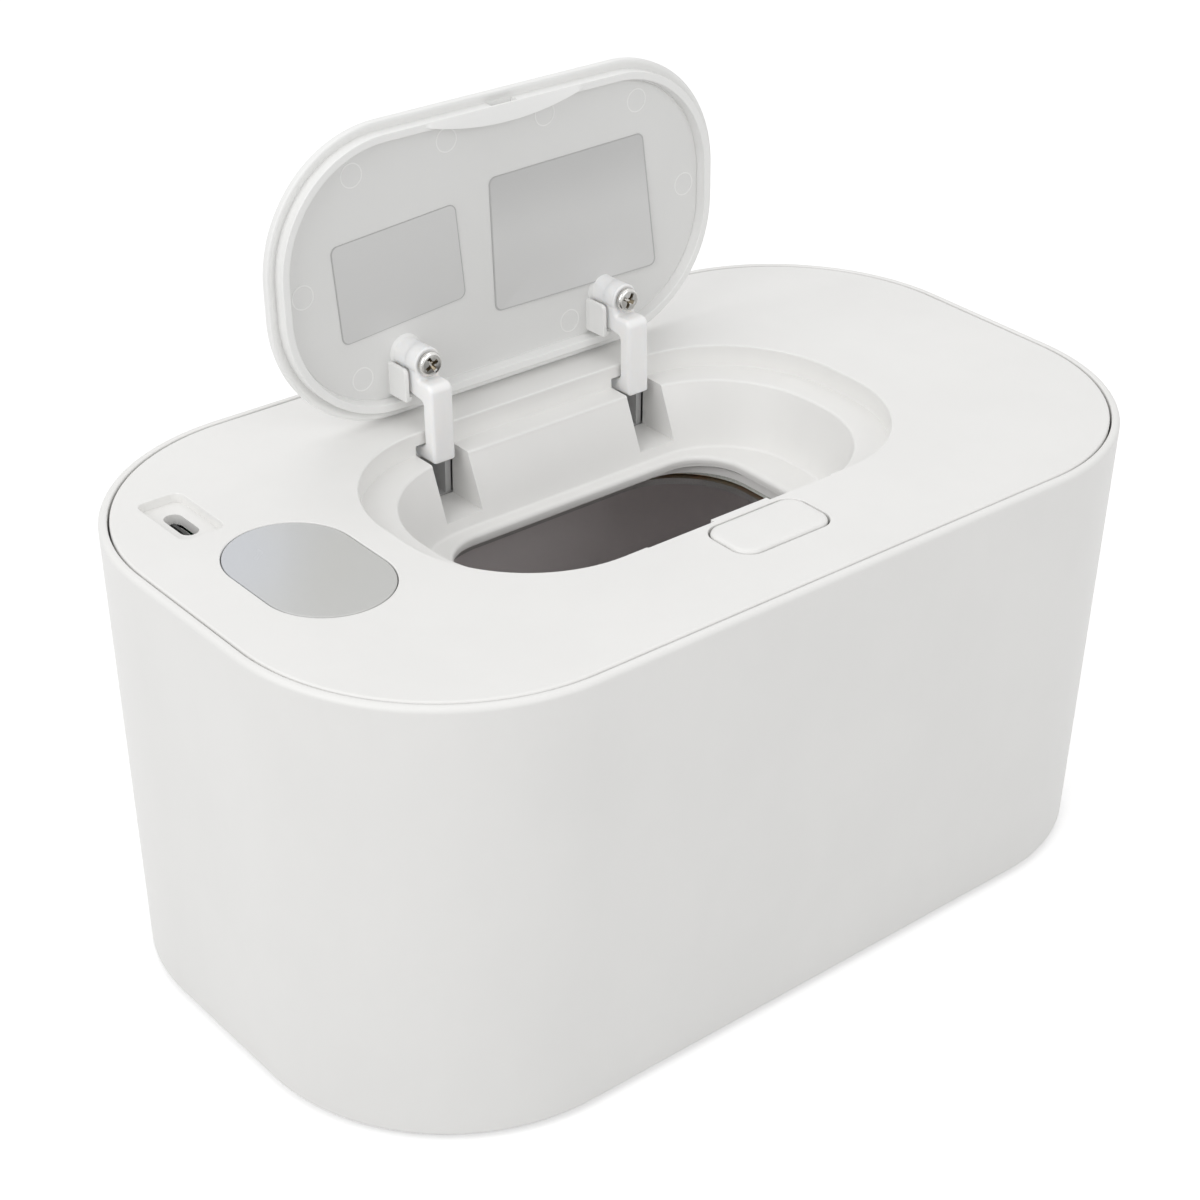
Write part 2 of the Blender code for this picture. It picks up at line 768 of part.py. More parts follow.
def build_inner_tank(grey):
    """Bin for the pack of wipes: a drafted tub that hangs from a flange and stands on its bosses."""
    mouth_z = below_top(tank_flange_depth)
    step_z = mouth_z - tank_rim_step

    def outer_inset(height):
        return tank_outer_inset + tank_draft_share * (mouth_z - height)

    outside = []
    for inset, drop in quarter_arc(tank_fillet):
        height = tank_floor_lift + drop
        outside.append((cover_outline(outer_inset(height) + inset), height))
    outside.reverse()
    outside.append((cover_outline(outer_inset(mouth_z - tank_flange)), mouth_z - tank_flange))
    outside.append((cover_outline(tank_flange_inset), mouth_z - tank_flange))
    outside.append((cover_outline(tank_flange_inset), mouth_z))
    inside = [(cover_outline(tank_mouth_inset - tank_rim_step_width / 2), mouth_z),
              (cover_outline(tank_mouth_inset - tank_rim_step_width / 2), step_z),
              (cover_outline(outer_inset(step_z) + tank_wall), step_z)]
    for inset, drop in quarter_arc(tank_fillet - tank_wall):
        height = tank_floor_z + drop
        inside.append((cover_outline(outer_inset(height) + tank_wall + inset), height))
    tank = loft("inner_tank", outside + inside, grey)
    for x, y in four_corners(base_screw_reach, base_screw_spread):
        join(tank, cylinder("tank_boss", large_screw_shank + screw_boss_wall,
                            (x, y, tank_boss_z), tank_floor_lift + tank_floor / 2))
        cut(tank, cylinder("tank_pilot", large_screw_shank + seat_gap,
                           (x, y, tank_boss_z - overrun), tank_boss_z + base_screw_bite + seat_gap))
    return tank


def cover_screw_places():
    """Where the lower cover is screwed to the top cover: four corners and two by the hinge."""
    rear = [(side * hinge_side_screw_reach, hinge_side_screw_spread) for side in (-1, 1)]
    return four_corners(cover_screw_reach, cover_screw_spread) + rear


def board_screw_places():
    """Where the control board is screwed under the top cover."""
    inner = lens_inner_x + board_post_inner_offset
    outer = lens_outer_x + board_post_outer_offset
    return [(inner, board_post_spread), (inner, -board_post_spread), (outer, -board_post_spread)]


def bracket_ear_places(centre):
    """Where the hinge bracket at a centre is screwed under the top cover."""
    left = centre - notch_width / 2 - bracket_wall - bracket_ear_length / 2
    right = centre + bracket_spring_room + bracket_wall + bracket_ear_length / 2
    return [(x, hinge_y + bracket_ear_set_back) for x in (left, right)]


def build_top_cover(white):
    """Cover plate with its skirt, lid pocket, well, opening and every recess and boss."""
    top = overall_height
    outside = []
    for depth in (cover_skirt_depth, cover_edge_round):
        outside.append((cover_outline(draft_share * depth), top - depth))
    for inset, drop in quarter_arc(cover_edge_round)[1:]:
        outside.append((cover_outline(inset), top - drop))
    inside = [(cover_outline(cover_skirt_wall + draft_share * depth), top - depth)
              for depth in (cover_plate, cover_skirt_depth)]
    cover = loft("top_cover", inside + outside, white)
    add_well(cover)
    add_notches(cover)
    add_cover_bosses(cover)
    add_latch_guides(cover)
    cut_pocket(cover)
    cut_notches(cover)
    cut_recesses(cover)
    return cover


def add_well(cover):
    """Joins the tub below the plate that makes the walls of the pocket and the well."""
    top = overall_height
    ledge_under = pocket_depth + pocket_wall
    tub = loft("well_tub", [
        (pocket_outline(pocket_wall), top - cover_plate / 2),
        (pocket_outline(pocket_wall), top - ledge_under),
        (well_outline(well_wall), top - ledge_under),
        (well_floor_outline(well_wall), top - well_depth - well_floor_wall / 2),
        (well_floor_outline(well_wall / 2), top - well_depth - well_floor_wall),
    ])
    collar = prism("opening_collar",
                   [opening_outline(opening_collar_wall, opening_collar_wall)],
                   below_top(opening_collar_depth), below_top(well_depth + well_floor_wall / 2))
    join(cover, tub, collar)


def add_notches(cover):
    """Joins the channels that carry the notches behind the well."""
    half = notch_width / 2 + notch_wall
    for centre in hinge_places:
        channel = box("notch_channel",
                      (centre - half, well_floor_width / 2 + notch_wall,
                       below_top(notch_floor_depth + notch_wall)),
                      (centre + half, pocket_width / 2 + notch_tail, below_top(pocket_depth)))
        join(cover, channel)


def add_cover_bosses(cover):
    """Joins the screw bosses under the plate."""
    root = below_top(cover_plate / 2)
    end = below_top(cover_boss_end_depth)
    for x, y in cover_screw_places():
        join(cover, cylinder("cover_boss", large_screw_shank + screw_boss_wall, (x, y, end), root))
        cut(cover, cylinder("cover_pilot", large_screw_shank + seat_gap, (x, y, end - overrun),
                            end + cover_screw_bite + seat_gap, sides=hidden_sides))
    seats = [(x, y, board_depth - seat_gap) for x, y in board_screw_places()]
    seats += [(x, y, bracket_ear_depth - seat_gap)
              for centre in hinge_places for x, y in bracket_ear_places(centre)]
    for x, y, depth in seats:
        end = below_top(depth)
        join(cover, cylinder("small_boss", small_screw_shank + small_boss_wall + seat_gap,
                             (x, y, end), root, sides=hidden_sides))
        cut(cover, cylinder("small_pilot", small_screw_shank + seat_gap, (x, y, end - overrun),
                            end + small_screw_bite + seat_gap, sides=hidden_sides))


def add_latch_guides(cover):
    """Joins the two rails that the latch slides in and the rib behind its spring."""
    root = below_top(cover_plate / 2)
    rail_foot = below_top(latch_plate_depth + latch_plate_height + seat_gap + rail_lip_height)
    rail_start = latch_front_y() + rail_set_back
    inner = latch_plate_width / 2 + seat_gap
    for side in (-1, 1):
        xs = sorted((side * inner, side * (inner + rail_wall)))
        lip_xs = sorted((side * (inner - rail_lip), side * (inner + rail_wall / 2)))
        wall = box("rail_wall", (xs[0], rail_start, rail_foot),
                   (xs[1], rail_start + rail_length, root))
        lip = box("rail_lip", (lip_xs[0], rail_start, rail_foot),
                  (lip_xs[1], rail_start + rail_length, rail_foot + rail_lip_height))
        join(cover, wall, lip)
    rib_face = latch_front_y() - latch_spring_length - 2 * seat_gap
    rib_foot = below_top(cover_skirt_depth)
    join(cover, box("spring_rib", (-spring_rib_width / 2, rib_face - spring_rib, rib_foot),
                    (spring_rib_width / 2, rib_face, root)))


def cut_pocket(cover):
    """Cuts the pocket, the well and the opening in one piece, then shapes the pocket's front."""
    top = overall_height
    sections = [(pocket_outline(pocket_edge_round), top + overrun)]
    for inset, drop in reversed(quarter_arc(pocket_edge_round)):
        sections.append((pocket_outline(inset), top - drop))
    sections.append((pocket_outline(0.0), top - pocket_depth))
    for inset, drop in reversed(quarter_arc(ledge_edge_round)):
        sections.append((well_outline(inset), top - pocket_depth - drop))
    for inset, lift in quarter_arc(well_floor_fillet):
        sections.append((well_floor_outline(-inset), top - well_depth + lift))
    for inset, drop in reversed(quarter_arc(opening_lip_round)):
        sections.append((opening_outline(inset, inset), top - well_depth - drop))
    sections.append((opening_outline(0.0, 0.0), below_top(base_floor_depth + overrun)))
    cut(cover, loft("pocket_cutter", sections))
    cut(cover, box("front_relief",
                   (-relief_width / 2, pocket_front_y - relief_depth, below_top(pocket_depth)),
                   (relief_width / 2, pocket_front_y + relief_depth, top + overrun)))
    join(cover, box("front_tab",
                    (-relief_tab_width / 2, pocket_front_y - pocket_wall / 2,
                     below_top(pocket_depth + pocket_wall / 2)),
                    (relief_tab_width / 2, pocket_front_y + relief_tab_proud, top)))


def cut_notches(cover):
    """Opens the notches from the well through the ledge and the pocket's rear wall."""
    for centre in hinge_places:
        cut(cover, box("notch_cutter",
                       (centre - notch_width / 2, 0.0, below_top(notch_floor_depth)),
                       (centre + notch_width / 2, pocket_width / 2 + pocket_wall + overrun,
                        below_top(notch_roof_depth))))


def cut_recesses(cover):
    """Cuts the lens seat, the USB recess, the button hole and the latch window."""
    top = overall_height
    lens = (lens_centre_x, 0.0)
    join(cover, prism("lens_frame",
                      [rounded_outline(lens_length + 2 * lens_frame, lens_width + 2 * lens_frame,
                                       lens_corner + lens_frame, lens, small_corner_steps)],
                      below_top(lens_thickness + seat_gap + lens_frame), below_top(cover_plate / 2)))
    cut(cover,
        prism("lens_seat", [rounded_outline(lens_length, lens_width, lens_corner, lens)],
              below_top(lens_thickness + seat_gap), top + overrun),
        prism("lens_window",
              [rounded_outline(lens_length - 2 * lens_ledge, lens_width - 2 * lens_ledge,
                               lens_corner - lens_ledge, lens, small_corner_steps)],
              below_top(cover_plate + overrun), top))
    usb = (usb_x, usb_y)
    slot_length = usb_shell_thickness + 2 * seat_gap
    slot_width = usb_shell_width + 2 * seat_gap
    join(cover, prism("usb_floor",
                      [rounded_outline(usb_recess_length + 2 * usb_recess_floor,
                                       usb_recess_width + 2 * usb_recess_floor,
                                       usb_recess_corner, usb, small_corner_steps)],
                      below_top(usb_recess_depth + usb_recess_floor), below_top(cover_plate / 2)))
    cut(cover,
        prism("usb_recess",
              [rounded_outline(usb_recess_length, usb_recess_width, usb_recess_corner, usb,
                               small_corner_steps)],
              below_top(usb_recess_depth), top + overrun),
        prism("usb_slot",
              [rounded_outline(slot_length, slot_width, slot_length / 2, usb, small_corner_steps)],
              below_top(usb_recess_depth + usb_recess_floor + overrun), top),
        prism("button_hole",
              [rounded_outline(button_hole_length, button_hole_width, button_hole_corner,
                               (0.0, button_y), small_corner_steps)],
              below_top(cover_plate + overrun), top + overrun),
        box("latch_window",
            (-latch_leg_width / 2 - seat_gap, latch_rear_y() - latch_leg - button_travel - seat_gap,
             below_top(latch_plate_depth + latch_plate_height + seat_gap)),
            (latch_leg_width / 2 + seat_gap, latch_rear_y() + seat_gap,
             below_top(latch_window_roof))),
        box("hook_window",
            (-latch_leg_width / 2 - seat_gap, latch_rear_y(), below_top(pocket_depth)),
            (latch_leg_width / 2 + seat_gap, pocket_front_y + relief_tab_proud + overrun,
             below_top(latch_window_roof))))


def latch_rear_y():
    """Rear face of the latch's leg, inside the pocket's front wall."""
    return pocket_front_y - relief_depth - seat_gap


def latch_front_y():
    """Front face of the latch's spring seat."""
    return latch_rear_y() - latch_plate_length


def build_cover_base(white):
    """Lower half of the cover: a tray with a flange, which closes the space under the plate."""
    top = overall_height
    flange_top = top - base_flange_depth
    floor_under = top - base_underside_depth
    outside = []
    for inset, drop in quarter_arc(base_fillet):
        outside.append((cover_outline(base_wall_inset + inset), floor_under + drop))
    outside.reverse()
    outside.append((cover_outline(base_wall_inset), flange_top - base_flange))
    outside.append((cover_outline(base_flange_inset), flange_top - base_flange))
    outside.append((cover_outline(base_flange_inset), flange_top))
    inner = base_wall_inset + base_wall
    inside = [(cover_outline(inner), flange_top), (cover_outline(inner), top - base_floor_depth)]
    base = loft("cover_base", outside + inside, white)
    cut(base, prism("base_mouth", [opening_outline(base_mouth_end_gap, base_mouth_side_gap)],
                    floor_under - overrun, top - base_floor_depth + overrun))
    for x, y in cover_screw_places():
        cut(base, cylinder("base_hole", large_screw_shank + screw_clearance,
                           (x, y, floor_under - overrun), top - base_floor_depth + overrun,
                           sides=hidden_sides))
    for x, y in four_corners(heater_screw_reach, heater_screw_spread):
        boss_top = top - base_floor_depth + heater_boss_height
        join(base, cylinder("heater_boss", small_screw_shank + screw_boss_wall,
                            (x, y, top - base_floor_depth - base_floor / 2), boss_top,
                            sides=hidden_sides))
        cut(base, cylinder("heater_pilot", small_screw_shank + seat_gap,
                           (x, y, floor_under - overrun), boss_top - base_floor / 2,
                           sides=hidden_sides))
    cut(base, cylinder("sensor_hole", sensor_radius + seat_gap,
                       (sensor_x, 0.0, floor_under - overrun), top - base_floor_depth + overrun))
    return base


def build_cover_seal(silicone):
    """Silicone ring between the lower cover's flange and the tank's flange."""
    low, high = below_top(seal_depth + seal_height), below_top(seal_depth)
    outer = cover_outline(seal_inset)
    inner = cover_outline(seal_inset + seal_width)
    sections = [(outer, low), (outer, high), (inner, high), (inner, low)]
    return loft("cover_seal", sections, silicone, ring=True)


def build_cover_screws(steel):
    """Screws from below that hold the lower cover to the top cover."""
    head_top = below_top(base_underside_depth + seat_gap)
    length = below_top(cover_boss_end_depth) + cover_screw_bite - head_top
    build_screws("cover_screw", cover_screw_places(), head_top, large_screw_head,
                 large_screw_head_height, large_screw_shank, length, steel)


def heater_layer(name, inset, depth, height, material):
    """One flat layer of the heater stack, with the opening and four screw holes."""
    outline = rounded_outline(heater_length - 2 * inset, heater_width - 2 * inset,
                              heater_corner - inset, steps=2 * small_corner_steps)
    mouth = opening_outline(heater_mouth_end_gap + inset, heater_mouth_side_gap + inset,
                            small_corner_steps)
    hole = small_screw_shank + screw_clearance
    holes = [[(x + hole * math.cos(step / hidden_sides * FULL_TURN),
               y + hole * math.sin(step / hidden_sides * FULL_TURN))
              for step in range(hidden_sides)]
             for x, y in four_corners(heater_screw_reach, heater_screw_spread)]
    return prism(name, [outline, mouth] + holes, below_top(depth + height), below_top(depth),
                 material=material)


def build_heater(foam, amber, aluminium, steel, black):
    """Foam pad, heating film and aluminium plate, screwed up into the lower cover."""
    pad = heater_layer("insulation_pad", pad_inset, pad_depth, pad_height, foam)
    cut(pad, cylinder("pad_sensor_hole", sensor_radius + seat_gap,
                      (sensor_x, 0.0, below_top(pad_depth + pad_height + overrun)),
                      below_top(pad_depth) + overrun))
    heater_layer("heating_film", film_inset, film_depth, film_height, amber)
    heater_layer("heater_plate", 0.0, heater_plate_depth, heater_plate_height, aluminium)
    head_top = below_top(heater_screw_depth)
    length = heater_screw_depth - base_floor_depth + heater_boss_height / 2
    build_screws("heater_screw", four_corners(heater_screw_reach, heater_screw_spread), head_top,
                 small_screw_head, small_screw_head_height, small_screw_shank, length, steel)
    sensor_foot = below_top(film_depth - seat_gap)
    sensor = cylinder("temperature_sensor", sensor_radius, (sensor_x, 0.0, sensor_foot),
                      sensor_foot + sensor_height, material=black)
    for side in (-1, 1):
        join(sensor, cylinder("sensor_lead", sensor_lead_radius,
                              (sensor_x, side * sensor_lead_spacing / 2,
                               sensor_foot + sensor_height / 2),
                              sensor_foot + sensor_height + sensor_lead_length,
                              sides=hidden_sides))


def build_display(smoke, white, green, black, steel):
    """Lens, display, control board, its chip and its screws."""
    lens = (lens_centre_x, 0.0)
    length, width = lens_length - 2 * lens_gap, lens_width - 2 * lens_gap
    prism("display_lens", [rounded_outline(length, width, lens_corner - lens_gap, lens)],
          below_top(lens_thickness), overall_height, material=smoke)
    board_top = below_top(board_depth)
    box("display_module",
        (lens_centre_x - display_length / 2, -display_width / 2, board_top + seat_gap),
        (lens_centre_x + display_length / 2, display_width / 2,
         below_top(lens_thickness + 2 * seat_gap + lens_frame)), material=white)
    board = prism("control_board", [cover_outline(board_inset, small_corner_steps)],
                  board_top - board_thickness, board_top, material=green)
    combine(board, box("board_trim", (-cover_length, board_front_y, board_top - overrun),
                       (board_inner_x, board_rear_y, board_top + overrun)), "INTERSECT")
    for x, y in board_screw_places():
        cut(board, cylinder("board_hole", small_screw_shank + screw_clearance,
                            (x, y, board_top - overrun), board_top + overrun))
    for x, y in cover_screw_places():
        if x < board_inner_x:
            cut(board, cylinder("board_notch",
                                large_screw_shank + screw_boss_wall + screw_clearance,
                                (x, y, board_top - overrun), board_top + overrun))
    underside = board_top - board_thickness
    box("control_chip",
        (chip_x - chip_size / 2, chip_y - chip_size / 2, underside - seat_gap - chip_height),
        (chip_x + chip_size / 2, chip_y + chip_size / 2, underside - seat_gap), material=black)
    head_top = underside - seat_gap
    build_screws("board_screw", board_screw_places(), head_top, small_screw_head,
                 small_screw_head_height, small_screw_shank,
                 board_thickness + 2 * seat_gap + small_screw_bite, steel)


def build_usb(steel, black):
    """Upright USB inlet on the control board: a steel shell with a contact tongue."""
    usb = (usb_x, usb_y)
    foot = below_top(board_depth - seat_gap)
    mouth = below_top(usb_shell_depth)
    outer = rounded_outline(usb_shell_thickness, usb_shell_width, usb_shell_thickness / 2, usb,
                            small_corner_steps)
    bore = usb_shell_thickness - 2 * usb_shell_wall
    inner = rounded_outline(bore, usb_shell_width - 2 * usb_shell_wall, bore / 2, usb,
                            small_corner_steps)
    floor = foot + usb_shell_wall
    loft("usb_shell", [(outer, foot), (outer, mouth), (inner, mouth), (inner, floor)], steel)
    box("usb_tongue",
        (usb_x - usb_tongue_thickness / 2, usb_y - usb_tongue_width / 2, floor + seat_gap),
        (usb_x + usb_tongue_thickness / 2, usb_y + usb_tongue_width / 2,
         mouth - usb_tongue_setback), material=black)


def build_button(white):
    """Push button: a cap with a retained skirt and a cam rib under it."""
    top = overall_height + button_proud

    def outline(inset):
        return rounded_outline(
            button_hole_length - 2 * (button_gap + inset),
            button_hole_width - 2 * (button_gap + inset),
            button_hole_corner - button_gap - inset, (0.0, button_y), small_corner_steps)

    foot = below_top(button_skirt_depth)
    flange_top = foot + button_flange_height
    cap_under = top - button_cap
    sections = [(outline(button_skirt_wall), cap_under), (outline(button_skirt_wall), foot),
                (outline(-button_flange), foot), (outline(-button_flange), flange_top),
                (outline(0.0), flange_top)]
    sections += [(outline(inset), top - drop) for inset, drop in quarter_arc(button_round)]
    button = loft("push_button", sections, white)
    cut(button,
        box("button_rear_trim",
            (-button_hole_length, button_rear_y, foot - overrun),
            (button_hole_length, button_rear_y + overrun, flange_top + skim)),
        box("button_rear_window",
            (-button_window / 2, button_rear_y - button_skirt_wall - seat_gap, foot - overrun),
            (button_window / 2, button_rear_y + overrun, cap_under)))
    join(button, prism("button_cam", [cam_outline()], -cam_width / 2, cam_width / 2, axis="X"))
    return button


def cam_outline():
    """Side view of the button's cam: its slanting face looks forwards and down at 45 degrees."""
    rear = button_rear_y - cam_set_back
    tip_z = below_top(cam_tip_depth)
    root_z = below_top(cam_root_depth)
    cap_z = overall_height + button_proud - button_cap / 2
    front = rear - cam_tip_length - (root_z - tip_z)
    return [(rear, cap_z), (front, cap_z), (front, root_z), (rear - cam_tip_length, tip_z),
            (rear, tip_z)]


def build_latch(white):
    """Latch slide: plate, leg with its hook, slanting follower and spring seat."""
    rear = latch_rear_y()
    plate_top = below_top(latch_plate_depth)
    plate_foot = plate_top - latch_plate_height
    front = latch_front_y()
    latch = box("latch_slide", (-latch_plate_width / 2, front, plate_foot),
                (latch_plate_width / 2, rear - latch_leg - seat_gap, plate_top), white)
    hook_top = below_top(latch_hook_depth)
    tip = rear + latch_hook_reach
    leg = box("latch_leg", (-latch_leg_width / 2, rear - latch_leg, plate_foot),
              (latch_leg_width / 2, rear, hook_top))
    foot = box("latch_foot", (-latch_leg_width / 2, rear - latch_leg - 2 * seat_gap, plate_foot),
               (latch_leg_width / 2, rear - latch_leg / 2, plate_top))
    hook = box("latch_hook", (-latch_hook_width / 2, rear - latch_leg / 2,
                              hook_top - latch_hook_height),
               (latch_hook_width / 2, tip - latch_hook_ramp, hook_top))
    ramp = prism("latch_hook_ramp", [[
        (tip - 2 * latch_hook_ramp, hook_top - latch_hook_height),
        (tip, hook_top - latch_hook_height), (tip - latch_hook_ramp, hook_top),
        (tip - 2 * latch_hook_ramp, hook_top)]],
        -latch_hook_width / 2, latch_hook_width / 2, axis="X")
    cam = cam_outline()
    slant_gap = seat_gap * math.sqrt(2)
    tip_y, tip_z = cam[3]
    follower_top = below_top(latch_follower_top)
    low_y = tip_y - slant_gap + (tip_z - plate_top)
    high_y = tip_y - slant_gap + (tip_z - follower_top)
    follower = prism("latch_follower", [[
        (low_y, plate_top - latch_plate_height / 2), (low_y, plate_top), (high_y, follower_top),
        (high_y - latch_follower, follower_top),
        (high_y - latch_follower, plate_top - latch_plate_height / 2)]],
        -cam_width / 2, cam_width / 2, axis="X")
    seat = box("latch_seat", (-spring_rib_width / 2, front, plate_top - latch_plate_height / 2),
               (spring_rib_width / 2, front + latch_seat, below_top(latch_seat_depth)))
    join(latch, leg, foot, hook, ramp, follower, seat)
    return latch


def build_latch_spring(steel):
    """Compression spring in front of the latch slide, one wire wound round Y."""
    start = latch_front_y() - seat_gap - latch_spring_wire / 2
    length = latch_spring_length - latch_spring_wire
    points = []
    steps = latch_spring_turns * turn_steps
    for step in range(steps + 1):
        angle = step / steps * latch_spring_turns * FULL_TURN
        points.append((latch_spring_radius * math.cos(angle), start - length * step / steps,
                       below_top(latch_spring_depth) + latch_spring_radius * math.sin(angle)))
    return tube("latch_spring", points, latch_spring_wire / 2, steel)


def build_lid(white, hinge):
    """Lid shell in the frame of the hinge: skin with a rounded edge, rib, bosses and keeper."""
    top = hinge_depth
    skin = top - lid_skin
    tip = skin - lid_rib_height
    slope = lid_rib_inset + lid_rib + lid_rib_slope
    sections = [(lid_outline(slope), skin), (lid_outline(lid_rib_inset + lid_rib), tip),
                (lid_outline(lid_rib_inset), tip), (lid_outline(lid_rib_inset), skin)]
    sections += [(lid_outline(inset), skin + lift)
                 for inset, lift in reversed(quarter_arc(lid_lip_round))]
    sections += [(lid_outline(inset), top - drop) for inset, drop in quarter_arc(lid_top_round)]
    lid = loft("lid_shell", sections, white, hinge)
    boss_end = skin - lid_boss_height
    for centre in hinge_places:
        screw_at = (centre, -arm_reach)
        join(lid, cylinder("lid_boss", lid_boss_radius, (*screw_at, boss_end), skin + lid_skin / 2,
                           sides=pin_sides, top_radius=lid_boss_radius + lid_boss_draft,
                           parent=hinge))
        join(lid, *lid_tab_pieces(centre, skin, hinge))
    join(lid, keeper_block(skin, hinge))
    front = -hinge_y - lid_width / 2 + keeper_front_inset
    half = keeper_slot_width / 2
    bar_top = skin - keeper_height + keeper_bar_height
    cut(lid,
        box("keeper_slot", (-half, front + keeper_bar, skin - keeper_height - overrun),
            (half, front + keeper_bar + keeper_slot_length, skin), parent=hinge),
        box("keeper_window", (-half, front - skim, bar_top),
            (half, front + keeper_bar + keeper_slot_length / 2, skin), parent=hinge))
    for centre in hinge_places:
        cut(lid, cylinder("lid_pilot", lid_screw_shank + seat_gap,
                          (centre, -arm_reach, boss_end - overrun), boss_end + lid_boss_pilot,
                          parent=hinge))
    return lid


def lid_tab_pieces(centre, skin, hinge):
    """L-shaped rib beside a boss, which stops the arm's eye from turning."""
    right = centre - arm_width / 2 - lid_tab_gap
    left = right - lid_tab
    start = -arm_reach + lid_tab_start
    end = start + lid_tab_length
    root = skin + lid_skin / 2
    wall = box("tab_wall", (left, start, skin - lid_tab_height), (right, end, root), parent=hinge)
    foot = box("tab_foot", (left, end - lid_tab, skin - lid_tab_foot_height),
               (right + lid_tab_foot, end, root), parent=hinge)
    return wall, foot


def keeper_block(skin, hinge):
    """Thick front of the rib that the latch hooks into: a chord with an arched inner side."""
    front = -hinge_y - lid_width / 2 + keeper_front_inset
    rib_middle = -hinge_y - lid_width / 2 + lid_rib_inset + lid_rib / 2
    half = keeper_width / 2
    steps = 2 * small_corner_steps

    def outline(inset):
        points = [(-half, front), (half, front)]
        for step in range(steps + 1):
            x = half * (1 - 2 * step / steps)
            arch = max(keeper_crown * (1 - (x / half) ** 2) - inset, 0.0)
            points.append((x, rib_middle + arch))
        return points

    tip = skin - keeper_height
    sections = [(outline(0.0), skin + lid_skin / 2)]
    sections += [(outline(inset), tip + lift) for inset, lift in quarter_arc(keeper_round)]
    return loft("keeper_block", sections, parent=hinge)


def build_arm(name, centre, nylon, hinge):
    """Goose-neck arm: eye under the lid's boss, bar below it, and a hub on the pin."""
    eye_top = hinge_depth - lid_skin - lid_boss_height - seat_gap
    eye_foot = eye_top - arm_eye_thickness
    bar_foot = -arm_bar_drop - arm_bar_thickness
    side_view = rounded_path([
        (-arm_reach, eye_top, 0.0), (-arm_reach, eye_foot, 0.0),
        (-arm_bar_reach, eye_foot, arm_elbow_round), (-arm_bar_reach, bar_foot, arm_shoulder_round),
        (arm_bar_heel, bar_foot, arm_heel_round), (arm_bar_heel, 0.0, 0.0),
        (-arm_link_front, 0.0, 0.0), (-arm_link_front, -arm_bar_drop, arm_crook_round),
        (-arm_bar_slant, -arm_bar_drop, arm_crook_round),
        (-arm_eye_tail, eye_top, arm_shoulder_round)])
    half = arm_width / 2
    arm = prism(name, [side_view], centre - half, centre + half, axis="X", material=nylon,
                parent=hinge)
    bevel = arm.modifiers.new("edges", "BEVEL")
    bevel.width = arm_edge_round
    bevel.segments = round_steps
    bevel.limit_method = "ANGLE"
    bevel.angle_limit = arm_edge_angle
    join(arm,
         cylinder("arm_eye", arm_eye_radius, (centre, -arm_reach, eye_foot), eye_top,
                  sides=pin_sides, parent=hinge),
         cylinder("arm_hub", arm_hub_radius, (centre - half - arm_hub_extra, 0.0, 0.0),
                  centre + half, axis="X", sides=pin_sides, parent=hinge))
    cut(arm,
        cylinder("arm_eye_hole", lid_screw_shank + seat_gap, (centre, -arm_reach, eye_foot - overrun),
                 eye_top + overrun, parent=hinge),
        cylinder("arm_bore", pin_radius + seat_gap, (centre - notch_width, 0.0, 0.0),
                 centre + notch_width, axis="X", parent=hinge))
    return arm


def build_lid_screws(steel, hinge):
    """Screws that hold the arms to the bosses of the lid."""
    eye_foot = hinge_depth - lid_skin - lid_boss_height - seat_gap - arm_eye_thickness
    build_screws("lid_screw", [(centre, -arm_reach) for centre in hinge_places],
                 eye_foot - seat_gap, lid_screw_head, lid_screw_head_height, lid_screw_shank,
                 arm_eye_thickness + lid_boss_pilot, steel, parent=hinge, driven=True)


def build_bracket(name, centre, grey):
    """Bracket behind a notch: a floor, a back and two cheeks that hold the hinge pin."""
    top = overall_height
    throat = pocket_width / 2 + notch_tail + seat_gap
    behind_pocket = pocket_width / 2 + pocket_wall + seat_gap
    back = hinge_y + bracket_back
    floor_top = below_top(notch_floor_depth)
    left = centre - notch_width / 2
    right = centre + bracket_spring_room
    side_view = [(throat, floor_top - bracket_wall), (back + bracket_wall, floor_top - bracket_wall),
                 (back + bracket_wall, below_top(bracket_roof_depth)),
                 (behind_pocket, below_top(bracket_roof_depth)),
                 (behind_pocket, below_top(bracket_throat_depth)),
                 (throat, below_top(bracket_throat_depth))]
    bracket = prism(name, [side_view], left - bracket_wall, right + bracket_wall, axis="X",
                    material=grey)
    cut(bracket, box("bracket_cavity", (left, 0.0, floor_top), (right, back, top + overrun)))
    web_start = centre + arm_width / 2 + bracket_web_gap
    join(bracket, box("bracket_web", (web_start, throat, floor_top - bracket_wall / 2),
                      (web_start + bracket_web, back + bracket_wall / 2,
                       below_top(bracket_web_depth))))
    ear_top = below_top(bracket_ear_depth)
    reach = (bracket_ear_length + bracket_wall) / 2
    for (x, y), side in zip(bracket_ear_places(centre), (1, -1)):
        middle = x + side * bracket_wall / 2
        join(bracket, box("bracket_ear",
                          (middle - reach, y - bracket_ear_width / 2, ear_top - bracket_ear),
                          (middle + reach, y + bracket_ear_width / 2, ear_top)))
        cut(bracket, cylinder("bracket_hole", small_screw_shank + screw_clearance,
                              (x, y, ear_top - overrun), ear_top + overrun))
    cut(bracket, cylinder("pin_hole", pin_radius + seat_gap,
                          (left - overrun, hinge_y, hinge_z), right + overrun, axis="X",
                          sides=pin_sides))
    return bracket


